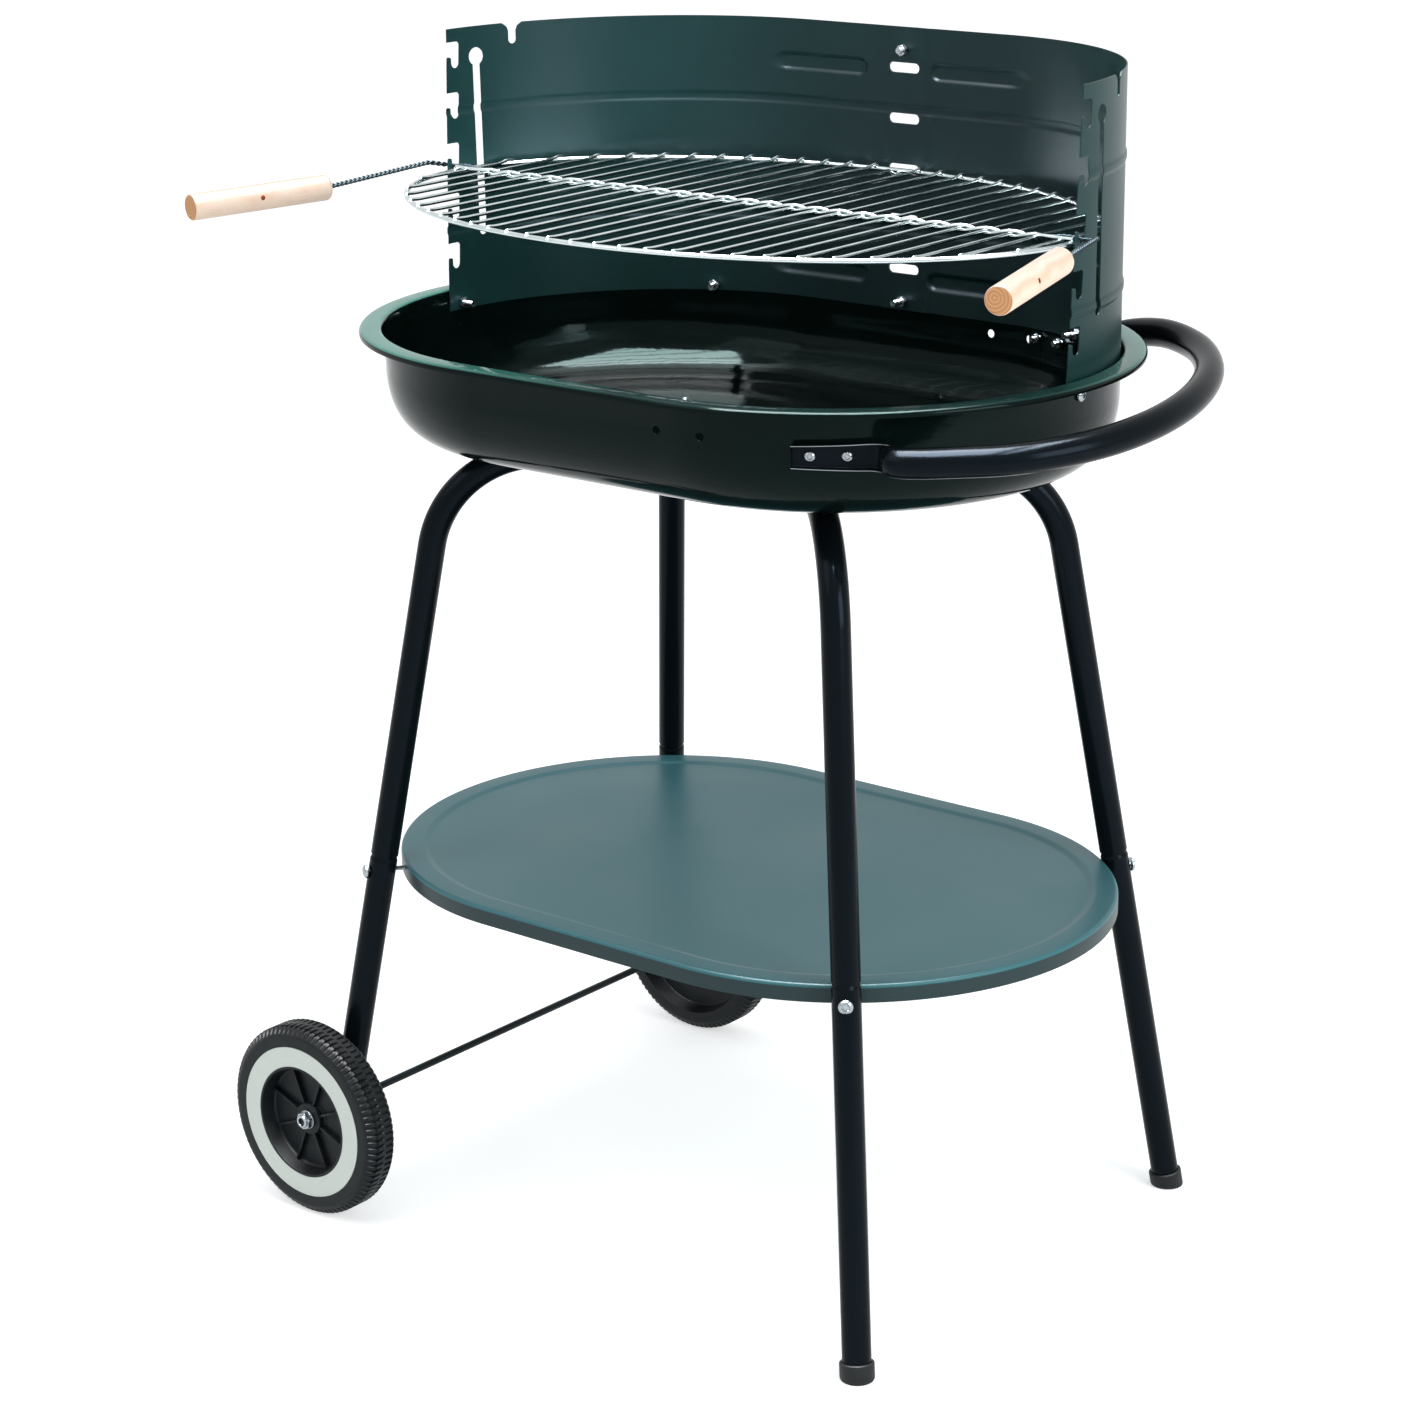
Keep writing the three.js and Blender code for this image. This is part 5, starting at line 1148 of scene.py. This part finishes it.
def wheelProfile():
    # (radius, distance out from the wheel's middle) round the whole moulding
    face, w = wheel["halfWidth"], wheel
    web, seat, hubIn = face - w["dish"], face - w["ringThick"] - w["ringGap"], face - wheelWidth
    hubTop, ringIn, ringOut = web + w["hubRise"], w["ringInner"], w["ringOuter"] + w["ringGap"]
    innerWeb = web - w["web"]
    outside = roundedLine([(w["bore"], hubTop), (w["hubRadius"], hubTop), (w["hubRadius"] + 1, web),
                           (ringIn - 4, web), (ringIn - 2, face), (ringIn - w["ringGap"], face)],
                          (0.8, 1.5, 2.5, 0.7), 4)
    recess = np.array([(ringIn - w["ringGap"], seat), (ringOut, seat), (ringOut, face)])
    side = roundedLine([(ringOut, face), (wheelRadius - w["shoulder"] - 2, face),
                        (wheelRadius, face - w["shoulder"]), (wheelRadius, 0)], (6, 6), 6)[:-1]
    flat = face - w["shoulder"] - 1.5
    tread = np.stack([np.full(21, wheelRadius), np.linspace(flat, -flat, 21)], -1)
    back = roundedLine([(w["ringOuter"], -face), (w["ringOuter"] - 3, innerWeb), (w["hubRadius"], innerWeb),
                        (w["hubSeat"], hubIn), (w["bore"], hubIn)], (1.5, 2, 1), 4)
    return np.concatenate([outside, recess, side[1:], tread, (side[::-1] * [1, -1])[:-1], back])


def wheelParts(side):
    line = wheelProfile()
    turn = fullTurn(wheel["bars"] * 8)[None]
    radius, out = line[:, :1], line[:, 1:]
    # the tread is cut into bars: two rows, half a bar out of step, either side of a thin ridge
    phase = (turn * wheel["bars"] / (2 * np.pi) + 0.5 * (out > 0)) % 1
    groove = smoothStep((np.abs(phase - 0.5) - wheel["barShare"] / 2) * wheel["barEdge"])
    reach = smoothStep((wheel["halfWidth"] - wheel["treadInset"] - np.abs(out)) / wheel["treadFade"])
    reach = reach * smoothStep((np.abs(out) - wheel["ridge"]) / wheel["ridgeFade"])
    onTread = radius > wheelRadius - wheel["treadBand"]
    radius = radius - wheel["treadDepth"] * groove * reach * onTread
    x = axleX + radius * np.cos(turn)
    z = wheelRadius + radius * np.sin(turn)
    y = side * (wheelMiddle + np.broadcast_to(out, x.shape))
    grid = np.stack([x, y, z], -1)
    return [closedGrid(grid, closeRows=True)]


def ribParts(side):
    # thin upright ribs from the hub to the dish's wall
    web = wheel["halfWidth"] - wheel["dish"]
    high = web + wheel["dish"] * wheel["ribShare"]
    near, far, half = wheel["hubRadius"] - 1, wheel["ringInner"] - 3, wheel["ribThick"] / 2
    hub = np.array([axleX, side * wheelMiddle, wheelRadius])
    outline = roundedLine([(near, web - 1), (near, high), (far, high), (far, web - 1), (near, web - 1)],
                          (1, 1, 0), 3)[:-1]
    parts = []
    for k in range(wheel["ribs"]):
        angle = 2 * np.pi * (k + 0.5) / wheel["ribs"]
        along = np.array([np.cos(angle), 0, np.sin(angle)])
        across = np.array([-np.sin(angle), 0, np.cos(angle)])
        flat = hub + outline[:, :1] * along + outline[:, 1:] * [0, side, 0]
        rings = np.stack([flat + across * reach for reach in (-half, 0.3 - half, half - 0.3, half)])
        centre = flat.mean(0)
        rings[[0, 3]] = centre + (rings[[0, 3]] - centre) * wheel["ribTaper"]
        parts.append(closedGrid(rings))
    return parts


def addWheel(place, side):
    body = f"wheel_{place}"
    word = words(place)
    addSolid(f"mouldedWheel{word}", wheelParts(side), tyrePlastic, body, [body], 38)
    addSolid(f"wheelRibs{word}", ribParts(side), tyrePlastic, body, [])
    hub = np.array([axleX, side * (ringFace - wheel["ringThick"]), wheelRadius])
    q, thick = wheel["ringRound"], wheel["ringThick"]
    line = roundedLine([(wheel["ringInner"], 0), (wheel["ringInner"], thick), (wheel["ringOuter"], thick),
                        (wheel["ringOuter"], 0), (wheel["ringInner"], 0)], (q, q, 0), 4)[:-1]
    turn = fullTurn(128)
    spin = np.stack([np.cos(turn), 0 * turn, np.sin(turn)], -1)
    grid = hub + line[:, None, :1] * spin + line[:, None, 1:] * [0, side, 0]
    addSolid(f"trimRing{word}", [closedGrid(grid, closeRows=True)], trimPlastic, body,
             [f"wheel_ring_{place}"])


addWheel("front", -1)
addWheel("back", 1)
print("wheels made")


# Screws, nuts and the axle

screw = {
    "steps": 48, "recessWidth": 0.55, "recessReach": 0.55,  # shares of the head's radius
    "recessDepth": 1.5, "recessEdge": (1.25, 2.2), "crossPower": 6, "dome": 0.62, "domePower": 3.5,
    "threadPitch": 0.8, "threadDepth": 0.3, "chamfer": 0.7,
}
axleNut = {
    "washerRadius": 7.8, "washer": 1.5, "across": 13.0, "height": 3.9, "collar": 5.4, "bore": 3.3, "recess": 1.4,
}


def axisFrame(origin, axis):
    axis = unit(np.asarray(axis, float))
    side = unit(np.cross(axis, [0.2, 0.1, 0.97] if abs(axis[2]) < 0.9 else [1, 0.1, 0]))
    other = np.cross(axis, side)
    return lambda x, y, t: origin + x[..., None] * side + y[..., None] * other + t[..., None] * axis


def hexRadius(turn, across):  # the distance to a hexagon's side at each angle
    return across / 2 / np.cos((turn + np.pi / 6) % (np.pi / 3) - np.pi / 6)


def nutPart(place, across, start, end, bore=0.0):
    # six sides whose corners are turned off at both ends
    turn = fullTurn(screw["steps"])[None]
    side, cut = hexRadius(turn, across), screw["chamfer"]
    trimmed = np.minimum(side, across / 2 * 1.01)
    between = np.minimum(side, trimmed + 0.4)
    rows = [(trimmed, start), (between, start + 0.25 * cut), (side, start + cut), (side, end - cut),
            (between, end - 0.25 * cut), (trimmed, end)]
    radius = np.concatenate([np.broadcast_to(r, turn.shape) for r, _ in rows])
    t = np.repeat(np.array([t for _, t in rows])[:, None], turn.size, 1)
    if bore:
        radius = np.concatenate([radius, np.full((2, turn.size), bore)])
        t = np.concatenate([t, np.full((1, turn.size), end), np.full((1, turn.size), start)])
    return closedGrid(place(radius * np.cos(turn), radius * np.sin(turn), t), closeRows=bool(bore))


def headPart(place, radius, top, seat):
    # a domed head with a cross recess sunk in its middle
    turn = fullTurn(screw["steps"])[None]
    share = np.concatenate([[0.0], np.linspace(0.06, 0.94, 15), [0.985, 1.0]])[:, None]
    x, y = radius * share * np.cos(turn), radius * share * np.sin(turn)
    dome = top + (seat - top) * screw["dome"] * share ** screw["domePower"]
    arm, reach = screw["recessWidth"] * radius / 2, screw["recessReach"] * radius
    across, along = np.minimum(np.abs(x), np.abs(y)), np.maximum(np.abs(x), np.abs(y))
    cross = across / arm + (along / reach) ** screw["crossPower"]
    edge, steep = screw["recessEdge"]
    t = dome + screw["recessDepth"] * smoothStep((edge - cross) * steep)
    under = np.full((1, turn.size), seat)
    rim = np.stack([np.cos(turn[0]), np.sin(turn[0])]) * radius
    x, y, t = np.concatenate([x, rim[:1]]), np.concatenate([y, rim[1:]]), np.concatenate([t, under])
    return closedGrid(place(x, y, t))


def shankPart(place, radius, start, end):
    # a threaded shank: its radius rises and falls once in each pitch
    turn = fullTurn(20)[None]
    t = np.arange(start, end, screw["threadPitch"] / 4)[:, None]
    wave = np.abs((t / screw["threadPitch"] + turn / (2 * np.pi)) % 1 - 0.5) * 2
    r = radius - screw["threadDepth"] * wave * (end - t > 0.5)
    return closedGrid(place(r * np.cos(turn), r * np.sin(turn), t + 0 * turn))


def boltParts(node):
    # reads the CAD bolt's axis and the steps along it, and turns a detailed one in its place
    corners = np.unique(np.round(solidCorners(node), 2), axis=0)
    middle = corners.mean(0)
    spread = corners - middle
    axis = longAxis(spread)
    t = spread @ axis
    r = np.linalg.norm(spread - t[:, None] * axis, axis=1)
    if r[t < t.min() + 0.2].mean() < r[t > t.max() - 0.2].mean():
        axis, t = -axis, -t
    order = np.argsort(t)
    groups = np.split(order, np.where(np.diff(t[order]) > 0.3)[0] + 1)
    top, _, seat, nut, nutEnd, tip = [t[g].mean() for g in groups]
    headRadius = r[groups[1]].mean()
    nutAcross = r[groups[4]].max() * 2 * np.cos(np.pi / 6)
    shank = r[groups[5]].mean()
    place = axisFrame(middle, axis)
    return [headPart(place, headRadius, top, seat), nutPart(place, nutAcross, nut, nutEnd),
            shankPart(place, shank, seat - 0.5, tip)]


def addFasteners():
    for node in sorted(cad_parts):
        if "bolt" in node or "screw" in node:
            addSolid(f"zinc{words(node)}", boltParts(node), zincPlate, "frame", [node], 30)


def addAxle():
    low, high = boxOf("axle")
    half, radius = high[1] - axleNut["recess"], (high[2] - low[2]) / 2
    line = roundedLine([(0, 0), (radius, 0), (radius, 2 * half), (0, 2 * half)], (0.6, 0.6), 4)
    addSolid("axleRod", [turned(line, np.array([axleX, -half, wheelRadius]), (0, 1, 0), 32)], blackenedSteel,
             "frame", ["axle"])
    for place, side in (("front", -1), ("back", 1)):
        low, high = boxOf(f"axle_nut_{place}")
        near, far = sorted(abs(v) for v in (low[1], high[1]))
        spot = axisFrame(np.array([axleX, 0, wheelRadius]), (0, side, 0))
        nutStart = near + axleNut["washer"]
        bore, washer, outer = axleNut["bore"], axleNut["washerRadius"], axleNut["collar"]
        ring = np.array([(bore, near), (washer - 0.3, near), (washer, near + 0.3), (washer, nutStart - 0.3),
                         (washer - 0.3, nutStart), (bore, nutStart)])
        collar = roundedLine([(bore, nutStart), (outer, nutStart), (outer, far), (bore, far), (bore, nutStart)],
                             (0, 1.1, 0.4), 5)[:-1]
        turn = fullTurn(48)[None]
        parts = [nutPart(spot, axleNut["across"], nutStart, nutStart + axleNut["height"], bore)]
        for line in (ring, collar):
            r, t = line[:, :1], line[:, 1:]
            parts.append(closedGrid(spot(r * np.cos(turn), r * np.sin(turn), t + 0 * turn), closeRows=True))
        addSolid(f"axleNut{words(place)}", parts, zincPlate, "frame", [f"axle_nut_{place}"])


addFasteners()
addAxle()
print("screws and axle made")


# Floor, light and background

studio = {
    "floor": "#f6f6f6", "floorReach": 40, "floorLift": 0.5, "sky": "#f2f6f8", "skyStrength": 0.62,
    "aim": (0, 0, 0.5),
    "key": {"place": (-1.0, -2.4, 2.8), "size": 2.0, "power": 20.0},
    "fill": {"place": (3.0, -0.3, 1.5), "size": 1.5, "power": 52.0},
    "overhead": {"place": (0.1, -0.3, 2.9), "size": 2.0, "power": 760.0},  # seen only as a gleam
}


def seenDirectly(tree):  # by the camera, in a mirror-like surface or through a clear one
    ray = addNode(tree, "LightPath")
    mirrored = addNode(tree, "Math", {"operation": "MAXIMUM"},
                       {0: (ray, "Is Glossy Ray"), 1: (ray, "Is Transmission Ray")})
    return addNode(tree, "Math", {"operation": "MAXIMUM"}, {0: (ray, "Is Camera Ray"), 1: (mirrored, 0)})


def addFloor():
    material, tree, shader = newMaterial("paleFloor", {"Base Color": toLinear(studio["floor"]), "Roughness": 0.9})
    lift = addNode(tree, "Emission", {"Strength": studio["floorLift"]})
    both = addNode(tree, "AddShader", {}, {0: (shader, 0), 1: (lift, 0)})
    seen = addNode(tree, "MixShader", {}, {0: (seenDirectly(tree), 0), 1: (shader, 0), 2: (both, 0)})
    tree.links.new(seen.outputs[0], tree.nodes["Material Output"].inputs["Surface"])
    mesh = bpy.data.meshes.new("floor")
    r = studio["floorReach"]
    mesh.from_pydata([(-r, -r, 0), (r, -r, 0), (r, r, 0), (-r, r, 0)], [], [(0, 1, 2, 3)])
    mesh.materials.append(material)
    floor = addObject("floor", mesh)


def addLamp(name, look):
    data = bpy.data.lights.new(name, "AREA")
    data.energy, data.size = look["power"], look["size"]
    lamp = addObject(name, data)
    place = Vector(look["place"])
    lamp.location = place
    lamp.rotation_euler = (Vector(studio["aim"]) - place).to_track_quat("-Z", "Y").to_euler()
    return lamp


def addSky():
    # even pale light from all round, and plain white where the camera looks past the object
    world = bpy.data.worlds.new("sky")
    bpy.context.scene.world = world
    world.use_nodes = True
    tree = world.node_tree
    tree.nodes.clear()
    light = addNode(tree, "Background", {"Color": toLinear(studio["sky"]), "Strength": studio["skyStrength"]})
    white = addNode(tree, "Background", {"Color": (1, 1, 1, 1), "Strength": 1.0})
    seen = addNode(tree, "MixShader", {}, {0: (seenDirectly(tree), 0), 1: (light, 0), 2: (white, 0)})
    addNode(tree, "OutputWorld", links={"Surface": (seen, 0)})


addFloor()
addSky()
lamps = {name: addLamp(name, studio[name]) for name in ("key", "fill", "overhead")}
lamps["overhead"].visible_diffuse = False
bpy.context.scene.view_settings.view_transform = "Standard"
print("stage set")
